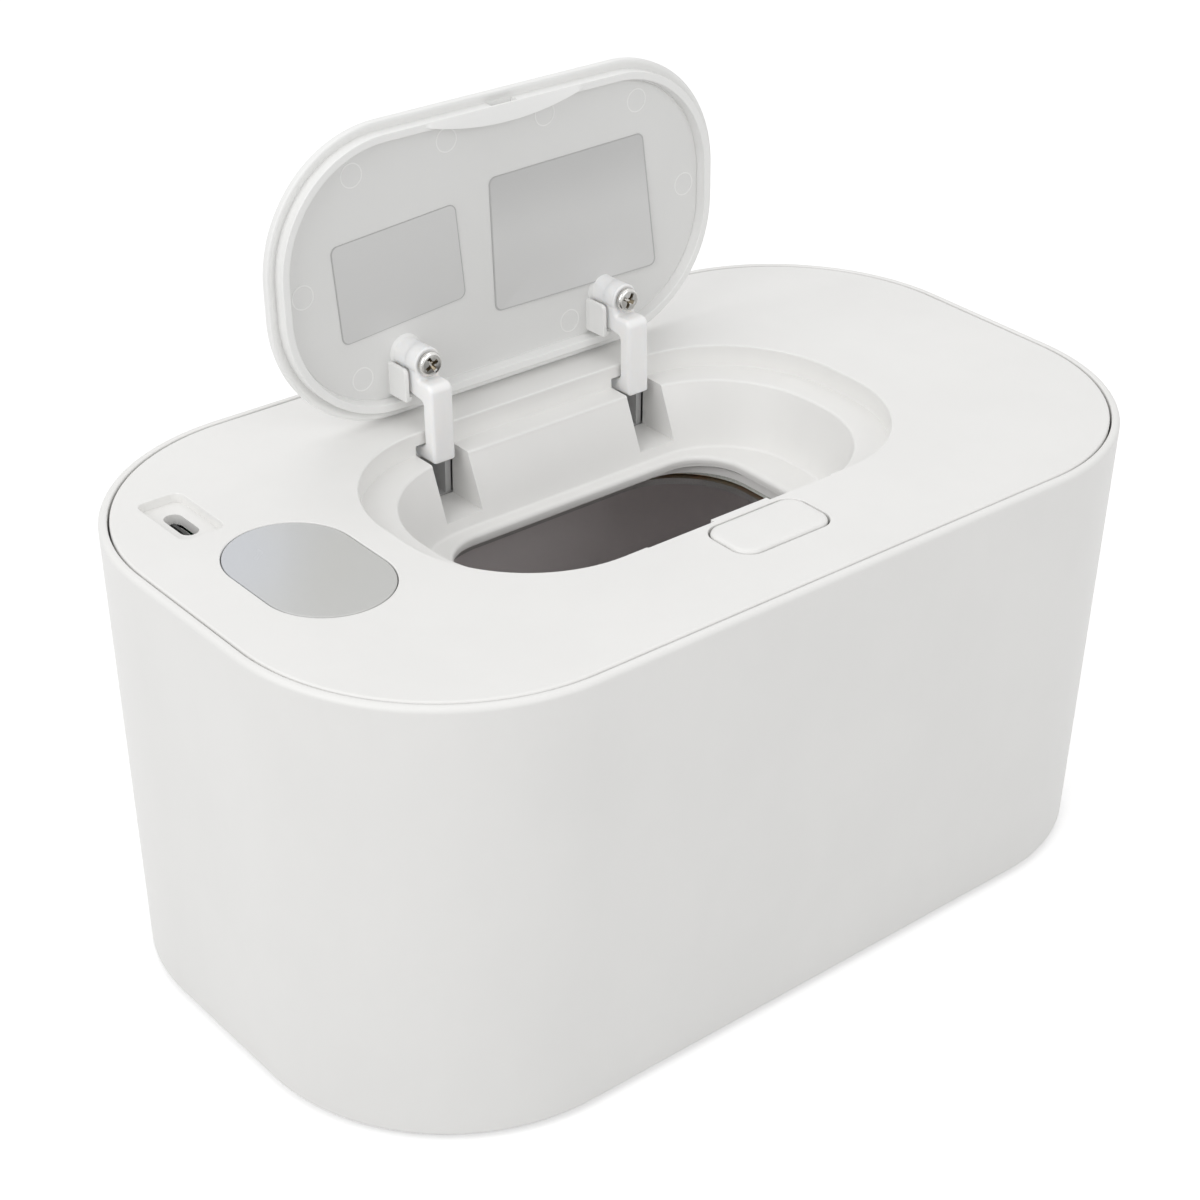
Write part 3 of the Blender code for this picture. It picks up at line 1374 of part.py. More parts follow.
def build_hinge(name_end, centre, grey, steel):
    """Bracket, pin and torsion spring of one arm."""
    build_bracket("hinge_bracket_" + name_end, centre, grey)
    left = centre - notch_width / 2 - bracket_wall - pin_overhang
    right = centre + bracket_spring_room + bracket_wall + pin_overhang
    cylinder("hinge_pin_" + name_end, pin_radius, (left, hinge_y, hinge_z), right, axis="X",
             sides=pin_sides, material=steel)
    start = centre + arm_width / 2 + seat_gap + torsion_wire / 2
    points = [(start, hinge_y - torsion_leg, hinge_z - torsion_radius)]
    steps = torsion_turns * turn_steps
    for step in range(steps + 1):
        turn = step / steps * torsion_turns
        angle = -QUARTER_TURN - turn * FULL_TURN
        points.append((start + turn * torsion_pitch, hinge_y + torsion_radius * math.cos(angle),
                       hinge_z + torsion_radius * math.sin(angle)))
    end = points[-1]
    points.append((end[0], end[1] + torsion_leg, end[2]))
    tube("torsion_spring_" + name_end, points, torsion_wire / 2, steel)


def build_bracket_screws(steel):
    """Screws that hold the hinge brackets under the cover."""
    head_top = below_top(bracket_ear_depth + bracket_ear + seat_gap)
    length = bracket_ear + 2 * seat_gap + small_screw_bite
    places = [place for centre in hinge_places for place in bracket_ear_places(centre)]
    build_screws("bracket_screw", places, head_top, small_screw_head, small_screw_head_height,
                 small_screw_shank, length, steel)


def lid_hinge_frame():
    """Empty on the hinge axis, turned back from closed to open, which carries the lid."""
    hinge = bpy.data.objects.new("lid_hinge", None)
    hinge.location = (0.0, hinge_y, hinge_z)
    hinge.rotation_euler = (-lid_open_angle, 0.0, 0.0)
    parts.objects.link(hinge)
    bpy.context.view_layer.update()
    return hinge


def main():
    start_scene()
    white = finish("white_abs", (0.86, 0.86, 0.85), 0.38)
    lid_white = finish("lid_abs", (0.84, 0.84, 0.83), 0.36)
    nylon = finish("arm_nylon", (0.88, 0.87, 0.88), 0.30)
    grey = finish("tank_grey", (0.78, 0.745, 0.745), 0.45)
    bracket_grey = finish("bracket_grey", (0.58, 0.58, 0.58), 0.45)
    smoke = finish("lens_grey", (0.60, 0.61, 0.61), 0.15)
    rubber = finish("foot_rubber", (0.10, 0.10, 0.10), 0.85)
    silicone = finish("seal_silicone", (0.70, 0.70, 0.69), 0.60)
    foam = finish("pad_foam", (0.62, 0.64, 0.60), 0.90)
    amber = finish("film_amber", (0.55, 0.25, 0.05), 0.35)
    aluminium = finish("plate_aluminium", (0.70, 0.71, 0.69), 0.40, 1.0)
    steel = finish("steel", (0.62, 0.60, 0.57), 0.25, 1.0)
    green = finish("board_green", (0.02, 0.20, 0.08), 0.50)
    black = finish("black_plastic", (0.02, 0.02, 0.02), 0.45)

    build_outer_shell(white)
    build_feet(rubber)
    build_inner_tank(grey)
    build_base_screws(steel)
    build_top_cover(white)
    build_cover_base(white)
    build_cover_seal(silicone)
    build_cover_screws(steel)
    build_heater(foam, amber, aluminium, steel, black)
    build_display(smoke, white, green, black, steel)
    build_usb(steel, black)
    build_button(white)
    build_latch(white)
    build_latch_spring(steel)
    for name_end, centre in zip(("left", "right"), hinge_places):
        build_hinge(name_end, centre, bracket_grey, steel)
    build_bracket_screws(steel)
    hinge = lid_hinge_frame()
    build_lid(lid_white, hinge)
    for name_end, centre in zip(("left", "right"), hinge_places):
        build_arm("hinge_arm_" + name_end, centre, nylon, hinge)
    build_lid_screws(steel, hinge)


main()
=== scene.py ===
"""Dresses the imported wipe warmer: smooth mouldings, finishes, labels, studio light and camera."""

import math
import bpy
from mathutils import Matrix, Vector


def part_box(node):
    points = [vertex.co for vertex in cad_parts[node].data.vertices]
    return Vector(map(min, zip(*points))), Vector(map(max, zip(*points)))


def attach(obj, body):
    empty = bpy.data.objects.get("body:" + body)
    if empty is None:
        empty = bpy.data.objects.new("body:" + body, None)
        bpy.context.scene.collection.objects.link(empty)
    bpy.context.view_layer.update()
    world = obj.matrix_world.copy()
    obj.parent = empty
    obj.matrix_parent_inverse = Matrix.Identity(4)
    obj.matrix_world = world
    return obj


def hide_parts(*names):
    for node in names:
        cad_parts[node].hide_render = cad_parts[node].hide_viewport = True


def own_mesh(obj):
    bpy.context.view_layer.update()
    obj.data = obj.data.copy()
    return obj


bl_info = {
    "name": "Wipe Warmer Dresser",
    "version": (1, 0, 0),
    "blender": (4, 5, 0),
    "location": "3D View > Sidebar > Wipe Warmer",
    "description": "Smooth mouldings and finishes for a baby wipe warmer, with its studio",
    "category": "Object",
}

import bmesh
import bpy
import numpy as np
from mathutils import Matrix, Vector

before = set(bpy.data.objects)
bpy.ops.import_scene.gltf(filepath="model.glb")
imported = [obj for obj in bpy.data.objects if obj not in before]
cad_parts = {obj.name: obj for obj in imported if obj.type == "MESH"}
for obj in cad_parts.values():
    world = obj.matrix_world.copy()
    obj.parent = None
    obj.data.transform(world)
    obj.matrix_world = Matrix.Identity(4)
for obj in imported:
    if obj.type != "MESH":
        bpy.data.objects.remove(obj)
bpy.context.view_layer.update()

MM = 0.001
QUARTER_TURN = math.pi / 2
FULL_TURN = math.pi * 2

# Facets: steps of a quarter turn on a plan corner, on an edge's rounding, and sides of a round bar
corner_steps = 36
edge_steps = 6
round_sides = 64
small_sides = 40

# seat_gap clears a seated part, overrun carries a tool past a face, overlap sinks one face into
# another, and points nearer than weld are merged
seat_gap = 0.3 * MM
overrun = 4.0 * MM
overlap = 0.01 * MM
weld = 0.0005 * MM

# Sizes shared by several pieces: the screws, and the tank's and tray's flanges
screw_head = 1.4 * MM
screw_shank = 1.1 * MM
flange = 1.8 * MM
flange_inset = 0.6 * MM


def size(label, meaning, millimetres):
    """A length that a user may change, given in millimetres."""
    return bpy.props.FloatProperty(
        name=label, description=meaning, default=millimetres * MM, unit="LENGTH", precision=5)


def angle(label, meaning, degrees):
    """An angle that a user may change, given in degrees."""
    return bpy.props.FloatProperty(
        name=label, description=meaning, default=math.radians(degrees), subtype="ANGLE")


def share(label, meaning, value):
    """A number from 0 to 1 that a user may change."""
    return bpy.props.FloatProperty(
        name=label, description=meaning, default=value, min=0.0, max=1.0, subtype="FACTOR")


def tint(label, meaning, colour):
    """A linear colour that a user may change."""
    return bpy.props.FloatVectorProperty(
        name=label, description=meaning, default=colour, size=3, min=0.0, max=1.0,
        subtype="COLOR")


class CasingSettings(bpy.types.PropertyGroup):
    """Sizes of the tub and the inner tank."""

    height: size("Height", "From the floor to the top face of the cover", 100.0)
    length: size("Length", "Length of the casing at its rim", 212.4)
    width: size("Width", "Width of the casing at its rim", 127.2)
    corner: size("Corner", "Plan radius of the casing's corners at its rim", 46.5)
    wall: size("Wall", "Thickness of the casing's wall", 1.8)
    floor: size("Floor", "Thickness of the casing's floor", 2.0)
    rim_round: size("Rim round", "Rounding of the rim's outer edge", 1.1)
    rim_inner_round: size("Inner rim round", "Rounding of the rim's inner edge", 0.35)
    base_round: size("Base round", "Rounding of the casing's lower edge", 0.8)
    draft: share("Draft", "Inward slope of the walls per unit of depth", 0.0212)
    rim_gap: size("Rim gap", "Gap between the casing's rim and the cover", 0.4)
    foot_proud: size("Foot height", "How far the feet stand out of the floor", 1.1)
    foot_radius: size("Foot radius", "Radius of a foot", 5.0)
    tank_mouth_inset: size("Tank mouth inset", "From the cover's outline to the tank's mouth", 7.4)
    tank_wall: size("Tank wall", "Thickness of the tank's wall", 1.6)
    tank_lift: size("Tank lift", "From the floor to the tank's underside", 8.3)
    tank_draft: share("Tank draft", "Inward slope of the tank's wall per unit of depth", 0.025)
    tank_fillet: size("Tank fillet", "Outer rounding at the foot of the tank's wall", 6.0)


class CoverSettings(bpy.types.PropertyGroup):
    """Sizes of the cover with its pocket, well and opening."""

    plate: size("Plate", "Thickness of the cover's plate", 2.2)
    skirt_depth: size("Skirt depth", "Height of the cover's skirt", 9.0)
    skirt_wall: size("Skirt wall", "Thickness of the cover's skirt", 1.8)
    edge_round: size("Edge round", "Rounding of the cover's outer edge", 0.6)
    pocket_length: size("Pocket length", "Length of the lid's pocket", 117.4)
    pocket_width: size("Pocket width", "Width of the lid's pocket", 65.3)
    pocket_corner: size("Pocket corner", "Plan radius of the pocket", 29.1)
    pocket_depth: size("Pocket depth", "Depth of the ledge below the top face", 5.0)
    pocket_edge: size("Pocket edge", "Rounding of the pocket's upper edge", 0.4)
    ledge_end: size("Ledge end", "Width of the ledge at the pocket's ends", 7.6)
    floor_end: size("Floor end", "From the pocket's ends to the well's floor", 11.6)
    ledge_side: size("Ledge side", "Width of the ledge at the front and back", 5.45)
    ledge_round: size("Ledge round", "Rounding of the ledge's inner edge", 0.7)
    well_corner: size("Well corner", "Plan radius of the well's mouth", 25.0)
    well_depth: size("Well depth", "Depth of the well's floor below the top face", 19.0)
    well_floor_width: size("Well floor width", "Width of the well's floor", 43.4)
    well_floor_corner: size("Well floor corner", "Plan radius of the well's floor", 19.5)
    well_fillet: size("Well fillet", "Fillet between the well's wall and floor", 0.8)
    opening_length: size("Opening length", "Length of the dispensing opening", 75.0)
    opening_width: size("Opening width", "Width of the dispensing opening", 36.8)
    opening_corner: size("Opening corner", "Plan radius of the dispensing opening", 11.0)
    lip_round: size("Lip round", "Rounding of the opening's lip", 1.0)
    collar_depth: size("Collar depth", "Depth of the opening's collar", 21.3)
    collar_band: size("Collar band", "Height of the band below the collar's seam", 0.8)
    notch_width: size("Notch width", "Width of a hinge notch", 9.4)
    notch_roof: size("Notch roof", "Depth of a notch's upper edge", 2.9)
    notch_floor: size("Notch floor", "Depth of a notch's floor", 16.6)
    relief_width: size("Relief width", "Width of the shallow recess in the pocket's front", 48.4)
    relief_depth: size("Relief depth", "Depth of that recess", 0.6)
    tab_width: size("Tab width", "Width of the tab at the middle of that recess", 14.6)
    tab_proud: size("Tab proud", "How far the tab stands into the pocket", 0.4)


class FittingSettings(bpy.types.PropertyGroup):
    """Sizes of the window, the inlet and the button."""

    lens_x: size("Window place", "Centre of the display window along the cover", -78.6)
    lens_length: size("Window length", "Length of the display window's seat", 26.2)
    lens_width: size("Window width", "Width of the display window's seat", 38.4)
    lens_gap: size("Window gap", "Gap round the display window", 0.2)
    lens_thickness: size("Window thickness", "Thickness of the display window", 1.5)
    usb_x: size("Inlet place", "Centre of the inlet along the cover", -86.6)
    usb_y: size("Inlet set-back", "Centre of the inlet across the cover", 32.1)
    usb_length: size("Inlet recess length", "Size of the inlet's recess along the cover", 9.7)
    usb_width: size("Inlet recess width", "Size of the inlet's recess across the cover", 17.7)
    usb_depth: size("Inlet recess depth", "Depth of the inlet's recess", 2.0)
    usb_corner: size("Inlet recess corner", "Plan radius of the inlet's recess", 2.0)
    usb_wall: size("Inlet wall", "Depth of the plastic round the inlet's slot", 2.2)
    button_length: size("Button length", "Length of the button's hole", 24.4)
    button_width: size("Button width", "Width of the button's hole", 13.5)
    button_corner: size("Button corner", "Plan radius of the button's hole", 4.2)
    button_bridge: size("Button bridge", "Material between the button's hole and the pocket", 1.65)
    button_gap: size("Button gap", "Gap round the button", 0.45)
    button_proud: size("Button proud", "How far the button stands out of the cover", 0.5)
    button_round: size("Button round", "Rounding of the button's upper edge", 1.0)


class LidSettings(bpy.types.PropertyGroup):
    """Sizes of the lid, its arms and its screws."""

    end_gap: size("End gap", "Gap between the lid and the pocket at the ends", 1.1)
    side_gap: size("Side gap", "Gap between the lid and the pocket at the front and back", 1.15)
    skin: size("Skin", "Thickness of the lid's plate", 2.0)
    top_round: size("Top round", "Rounding of the lid's outer face", 0.7)
    rib_inset: size("Rib inset", "From the lid's edge to its rib", 2.2)
    rib: size("Rib", "Thickness of the rib at its tip", 1.7)
    rib_height: size("Rib height", "Height of the rib", 2.2)
    rib_slope: size("Rib slope", "Width of the slope inside the rib", 0.3)
    bead_round: size("Bead round", "Rounding of the lid's edge outside the rib", 0.4)
    bead_groove: size("Bead groove", "Depth of the groove between the bead and the rib", 0.65)
    keeper_width: size("Keeper width", "Width of the thick part of the rib", 40.0)
    keeper_crown: size("Keeper crown", "How far the keeper's arch reaches inside the rib", 2.7)
    keeper_rise: size("Keeper rise", "How far the keeper's crest rises over the rib", 0.75)
    keeper_end: size("Keeper end", "Length of the slope at each end of the keeper", 1.4)
    keeper_inset: size("Keeper inset", "From the lid's front edge to the keeper", 2.25)
    keeper_bar_height: size("Keeper bar height", "Height of the bar that the hook holds", 0.45)
    slot_width: size("Slot width", "Width of the hook's slot over the bar", 6.6)
    slot_depth: size("Slot depth", "Depth of that slot behind the keeper's front", 1.35)
    hinge_depth: size("Hinge depth", "Depth of the hinge's axis below the top face", 5.6)
    hinge_set_back: size("Hinge set-back", "From the pocket's rear wall to the hinge's axis", 4.95)
    hinge_spread: size("Hinge spread", "Distance between the two arms", 52.2)
    arm_reach: size("Arm reach", "From the hinge's axis to a lid screw", 19.6)
    arm_width: size("Arm width", "Width of an arm", 5.6)
    boss_radius: size("Boss radius", "Radius of a screw boss", 3.2)
    boss_height: size("Boss height", "Height of a screw boss", 4.3)
    open_angle: angle("Open angle", "How far the lid stands open at rest", 92.0)


class FinishSettings(bpy.types.PropertyGroup):
    """Colours of the finishes."""

    casing: tint("Casing", "Colour of the casing and the cover", (0.85, 0.845, 0.83))
    lid: tint("Lid", "Colour of the lid's rim and rib", (0.87, 0.87, 0.86))
    lid_floor: tint("Lid floor", "Colour of the dimmer floor inside the lid", (0.77, 0.77, 0.76))
    arm: tint("Arm", "Colour of the hinge arms and the bosses", (0.985, 0.98, 0.975))
    tank: tint("Tank", "Colour of the inner tank", (0.90, 0.855, 0.855))
    bracket: tint("Bracket", "Colour of the hinge brackets", (0.58, 0.58, 0.58))
    lens: tint("Window", "Colour of the display window", (0.562, 0.562, 0.556))
    label: tint("Label", "Colour of the lid's bare labels", (0.66, 0.66, 0.655))
    steel: tint("Steel", "Colour of the screws and springs", (0.80, 0.79, 0.77))


class StageSettings(bpy.types.PropertyGroup):
    """Camera and light."""

    camera_azimuth: angle("Camera azimuth", "Direction from which the camera looks", -41.211)
    camera_elevation: angle("Camera elevation", "Height angle of the camera", 31.858)
    camera_roll: angle("Camera roll", "Turn of the camera about its line of sight", 1.461)
    camera_x: size("Camera X", "Camera's place along the object", -294.5)
    camera_y: size("Camera Y", "Camera's place across the object", -344.8)
    camera_z: size("Camera Z", "Camera's height above the floor", 332.2)
    ambient: share("Ambient", "Strength of the light from all round", 0.56)


# Shapes


def corner_outline(length, width, corner, grow=0.0, centre=(0.0, 0.0), steps=corner_steps):
    """Rectangle with round corners: quarter circles about four centres, anticlockwise, all moved
    outwards by grow."""
    turn = np.linspace(0.0, QUARTER_TURN, steps + 1)
    half = np.array((length, width)) / 2 - corner
    arcs = []
    for quarter, side in enumerate(((1, 1), (-1, 1), (-1, -1), (1, -1))):
        angles = turn + quarter * QUARTER_TURN
        arcs.append(np.array(centre) + side * half
                    + (corner + grow) * np.column_stack((np.cos(angles), np.sin(angles))))
    return np.concatenate(arcs)


def circle_outline(radius, centre=(0.0, 0.0), sides=round_sides):
    """Circle as points at even angles."""
    angles = np.arange(sides) / sides * FULL_TURN
    return np.array(centre) + radius * np.column_stack((np.cos(angles), np.sin(angles)))


def rounded_path(points, radii, steps=edge_steps):
    """Closed outline whose corners are arcs: each arc touches both sides at radius / tan(half angle)."""
    points = np.asarray(points, float)
    t = np.linspace(0.0, 1.0, steps + 1)[:, None]
    out = []
    for index, radius in enumerate(radii):
        here = points[index]
        before = points[index - 1] - here
        after = points[(index + 1) % len(points)] - here
        before /= np.linalg.norm(before)
        after /= np.linalg.norm(after)
        if radius <= 0.0:
            out.append(here[None])
            continue
        half = math.acos(np.clip(before @ after, -1.0, 1.0)) / 2
        bisector = (before + after) / np.linalg.norm(before + after)
        centre = here + bisector * radius / math.sin(half)
        start = here + before * radius / math.tan(half) - centre
        end = here + after * radius / math.tan(half) - centre
        sweep = math.pi - 2 * half
        out.append(centre + (np.sin((1 - t) * sweep) * start + np.sin(t * sweep) * end)
                   / math.sin(sweep))
    return np.concatenate(out)


def side_directions(points):
    """Unit vector from each point of an outline to the next."""
    ahead = np.roll(points, -1, axis=0) - points
    return ahead / np.linalg.norm(ahead, axis=1)[:, None]


def inset_path(points, distance):
    """Anticlockwise outline moved inwards: a corner moves by d (n1 + n2) / (1 + n1 . n2)."""
    ahead = side_directions(points)
    inward = np.column_stack((-ahead[:, 1], ahead[:, 0]))
    before = np.roll(inward, 1, axis=0)
    return points + distance * (inward + before) / (1 + (inward * before).sum(axis=1))[:, None]


def turn_signs(points):
    """1 at each convex corner of an anticlockwise outline and -1 at each hollow one."""
    ahead = side_directions(points)
    before = np.roll(ahead, 1, axis=0)
    return np.sign(before[:, 0] * ahead[:, 1] - before[:, 1] * ahead[:, 0])


def within(points, plan):
    """Which points lie inside a convex outline that runs anticlockwise."""
    ahead = np.roll(plan, -1, axis=0) - plan
    away = points[:, None, :2] - plan
    return (ahead[:, 0] * away[..., 1] - ahead[:, 1] * away[..., 0] >= 0.0).all(axis=1)


def edge_arc(radius, steps=edge_steps):
    """(inset, drop) pairs of a convex edge: a quarter circle from the wall up to the flat."""
    angles = np.linspace(0.0, QUARTER_TURN, steps + 1)
    return np.column_stack((radius * (1 - np.cos(angles)), radius * (1 - np.sin(angles))))


def level(plan, height):
    """A plan's points, each with the height added."""
    return np.column_stack((plan, np.full(len(plan), height)))


def turn_outwards(mesh):
    """Merges a mesh's doubled points and turns its faces outwards."""
    work = bmesh.new()
    work.from_mesh(mesh)
    bmesh.ops.remove_doubles(work, verts=work.verts, dist=weld)
    bmesh.ops.dissolve_degenerate(work, edges=work.edges, dist=weld)
    bmesh.ops.recalc_face_normals(work, faces=work.faces)
    work.to_mesh(mesh)
    work.free()


def loft_points(name, rings, ends=True):
    """Skin through rings of points: quads between neighbours, with flat ends or joined as a ring."""
    count = len(rings[0])
    total = count * len(rings)
    spans = len(rings) - 1 if ends else len(rings)
    row = (np.arange(spans) * count)[:, None]
    step = np.arange(count)[None]
    beside = (step + 1) % count
    above = (row + count) % total
    quads = np.stack((row + step, row + beside, above + beside, above + step), axis=-1)
    faces = quads.reshape(-1, 4).tolist()
    if ends:
        faces += [list(range(count)), list(range(total - count, total))]
    mesh = bpy.data.meshes.new(name)
    mesh.from_pydata(np.concatenate(rings).tolist(), [], faces)
    turn_outwards(mesh)
    piece = bpy.data.objects.new(name, mesh)
    bpy.context.scene.collection.objects.link(piece)
    return piece


def loft(name, rings, ends=True):
    """Skin through level rings, each an outline with its height, all with as many points."""
    return loft_points(name, [level(outline, height) for outline, height in rings], ends)


def prism(name, outline, start, end, axis="Z"):
    """Outline carried straight along an axis: (x, y) for Z, (y, z) for X."""
    piece = loft(name, [(outline, start), (outline, end)])
    if axis == "X":
        lay_along_x(piece)
    return piece


def lay_along_x(piece):
    """Turns a loft's height into x: its plan's points become (y, z)."""
    write_points(piece.data, read_points(piece.data)[:, (2, 0, 1)])
    turn_outwards(piece.data)


def block(name, low, high):
    """Box between two corners, as the prism of its plan."""
    plan = np.array([(high[0], high[1]), (low[0], high[1]), (low[0], low[1]), (high[0], low[1])])
    return prism(name, plan, low[2], high[2])


def turned(name, profile, centre=(0.0, 0.0), sides=round_sides):
    """Surface of revolution: each (radius, z) of the profile carried round Z."""
    on_axis = 0.0001 * MM
    return loft(name, [(circle_outline(max(radius, on_axis), centre, sides), z)
                       for radius, z in profile])


def bore(centre, radius, start, end, sides=small_sides):
    """Tool for a round hole along Z."""
    return turned("bore", [(radius, start), (radius, end)], centre, sides)


def read_points(mesh):
    """A mesh's points as an array of rows."""
    points = np.zeros(len(mesh.vertices) * 3)
    mesh.vertices.foreach_get("co", points)
    return points.reshape(-1, 3)


def write_points(mesh, points):
    """Puts rows of points back into a mesh."""
    mesh.vertices.foreach_set("co", points.ravel())
    mesh.update()


def face_centres(piece):
    """Middle of each face, as rows."""
    return np.array([face.center[:] for face in piece.data.polygons])


def move_mesh(piece, matrix):
    """Applies a matrix to a piece's points."""
    matrix = np.array(matrix)
    write_points(piece.data, read_points(piece.data) @ matrix[:3, :3].T + matrix[:3, 3])


def bake_modifiers(piece):
    """Replaces a piece's mesh with what its modifiers make of it."""
    graph = bpy.context.evaluated_depsgraph_get()
    mesh = bpy.data.meshes.new_from_object(piece.evaluated_get(graph))
    piece.modifiers.clear()
    piece.data = mesh


def carve(piece, tools, operation="DIFFERENCE"):
    """Cuts or joins the tools, one after another, and removes them."""
    for tool in tools:
        modifier = piece.modifiers.new("carve", "BOOLEAN")
        modifier.operation = operation
        modifier.object = tool
    bake_modifiers(piece)
    for tool in tools:
        bpy.data.objects.remove(tool, do_unlink=True)


def round_edges(piece, width, segments):
    """Rounds a piece's corners of more than 50 degrees."""
    bevel = piece.modifiers.new("edges", "BEVEL")
    bevel.width = width
    bevel.segments = segments
    bevel.limit_method = "ANGLE"
    bevel.angle_limit = math.radians(50.0)
    bake_modifiers(piece)


def finish_piece(piece, body, finish, nodes=(), sharp=32.0):
    """Smooth shading with crisp edges, then the piece's finish, body and the nodes it stands for."""
    piece.data.shade_smooth()
    piece.data.set_sharp_from_angle(angle=math.radians(sharp))
    weigh = piece.modifiers.new("even shading", "WEIGHTED_NORMAL")
    weigh.keep_sharp = True
    weigh.weight = 80
    bake_modifiers(piece)
    piece.data.materials.clear()
    piece.data.materials.append(finishes[finish])
    piece.data.name = piece.name
    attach(piece, body)
    if nodes:
        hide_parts(*nodes)


def paint_faces(piece, more, choice):
    """Adds finishes to a piece's first one, which is number 0, and says which each face has."""
    for finish in more:
        piece.data.materials.append(finishes[finish])
    piece.data.polygons.foreach_set("material_index", choice.astype(np.int32))


def node_place(name):
    """Middle of a CAD node's plan, and the lowest and highest corner of its box."""
    low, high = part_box(name)
    return ((low[0] + high[0]) / 2, (low[1] + high[1]) / 2), low, high


# Materials


class Wire:
    """An output socket of a node tree, so that maths on it is written as plain Python."""

    def __init__(self, paint, socket):
        self.paint = paint
        self.socket = socket

    def maths(self, operation, *values):
        """One Math node on this and other values."""
        return self.paint.node("ShaderNodeMath", {"operation": operation}, dict(enumerate(values)))

    def __add__(self, other):
        return self.maths("ADD", self, other)

    __radd__ = __add__

    def __sub__(self, other):
        return self.maths("SUBTRACT", self, other)

    def __rsub__(self, other):
        return self.maths("SUBTRACT", other, self)

    def __mul__(self, other):
        return self.maths("MULTIPLY", self, other)

    __rmul__ = __mul__

    def step(self, start, end):
        """0 up to start, 1 from end on, and smooth between them."""
        return self.paint.node(
            "ShaderNodeMapRange", {"interpolation_type": "SMOOTHSTEP"},
            {"Value": self, "From Min": start, "From Max": end})


class Shading:
    """A node tree under construction."""

    def __init__(self, tree):
        self.tree = tree

    def fill(self, socket, value):
        """Links a wire to a socket, or sets the socket's value."""
        if isinstance(value, Wire):
            self.tree.links.new(value.socket, socket)
        else:
            socket.default_value = value

    def node(self, kind, settings=None, inputs=None, output=0):
        """Adds a node: its settings first, then values or links of its sockets."""
        node = self.tree.nodes.new(kind)
        for key, value in (settings or {}).items():
            setattr(node, key, value)
        for key, value in (inputs or {}).items():
            self.fill(node.inputs[key], value)
        return Wire(self, node.outputs[output])

    def shown(self):
        """1 for what the camera sees, straight, mirrored or through a clear piece, and else 0."""
        straight, mirrored, through = (
            self.node("ShaderNodeLightPath", output=f"Is {ray} Ray")
            for ray in ("Camera", "Glossy", "Transmission"))
        return (straight + mirrored + through).step(0.0, 1.0)


class Paint(Shading):
    """A material under construction, with its Principled shader."""

    def __init__(self, name, roughness, metallic=0.0, specular=0.5):
        self.material = bpy.data.materials.new(name)
        self.material.use_nodes = True
        super().__init__(self.material.node_tree)
        self.shader = self.tree.nodes["Principled BSDF"]
        self.set(Roughness=roughness, Metallic=metallic, Specular_IOR_Level=specular)

    def set(self, **values):
        """Sets or links sockets of the Principled shader, with _ for a space."""
        for key, value in values.items():
            self.fill(self.shader.inputs[key.replace("_", " ")], value)

    def place(self):
        """The point on the object, in metres."""
        return self.node("ShaderNodeTexCoord", output="Object")

    def axis(self, letter):
        """One coordinate of the point on the object."""
        return self.node("ShaderNodeSeparateXYZ", {}, {0: self.place()}, "XYZ".index(letter))

    def noise(self, grain, detail=2.0, roughness=0.5, stretch=(1.0, 1.0, 1.0)):
        """Noise with features about grain metres wide, longer along a stretched axis."""
        scaled = self.node("ShaderNodeMapping", {}, {
            "Vector": self.place(), "Scale": [1.0 / (grain * part) for part in stretch]})
        return self.node("ShaderNodeTexNoise", {}, {
            "Vector": scaled, "Scale": 1.0, "Detail": detail, "Roughness": roughness})

    def mix(self, factor, first, second):
        """Colour between two colours, by a Mix node's sockets 0, 6 and 7."""
        return self.node("ShaderNodeMix", {"data_type": "RGBA"}, {
            0: factor, 6: rgba(first), 7: rgba(second)}, 2)

    def tone(self, mask, colour, first, second=1.0):
        """Base colour from one shade of a colour, where the mask is 0, to another."""
        self.set(Base_Color=self.mix(mask, shade(colour, first), shade(colour, second)))

    def bump(self, height, strength, distance=0.02 * MM):
        """Normal from a height from 0 to 1 that stands for a distance."""
        self.set(Normal=self.node("ShaderNodeBump", {}, {
            "Height": height, "Strength": strength, "Distance": distance}))


def rgba(colour):
    """A colour with its alpha of 1."""
    return (*tuple(colour)[:3], 1.0)


def shade(colour, factor):
    """A colour made darker or lighter."""
    return tuple(min(part * factor, 1.0) for part in colour)


def moulded_plastic(name, colour, roughness, grain=0.16 * MM, bump=0.10, mottle=0.012):
    """Injection-moulded plastic: fine spark texture, faint mottling and slightly uneven sheen."""
    paint = Paint(name, roughness)
    fine = paint.noise(grain, 3.0, 0.6)
    clouds = paint.noise(34 * MM, 3.0, 0.55)
    streaks = paint.noise(9 * MM, 4.0, 0.6, (1.0, 1.0, 2.4))
    mask = (clouds * 0.6 + streaks * 0.25 + fine * 0.15).step(0.35, 0.65)
    paint.tone(mask, colour, 1 - mottle, 1 + mottle)
    paint.set(Roughness=roughness - 0.05 + 0.07 * clouds + 0.04 * fine)
    paint.bump(fine, bump)
    return paint.material


def nylon(name, colour):
    """Nylon: a little translucent, with a soft gloss and faint flow lines."""
    paint = Paint(name, 0.32)
    flow = paint.noise(3.0 * MM, 3.0, 0.5, (1.0, 1.0, 3.0))
    paint.tone(flow.step(0.3, 0.7), colour, 0.97)
    paint.set(Roughness=0.26 + 0.12 * flow)
    paint.set(Coat_Weight=0.25, Coat_Roughness=0.2)
    paint.set(Subsurface_Weight=0.4, Subsurface_Radius=(1.0, 0.9, 0.8),
              Subsurface_Scale=2.5 * MM)
    paint.bump(paint.noise(0.5 * MM), 0.05)
    return paint.material


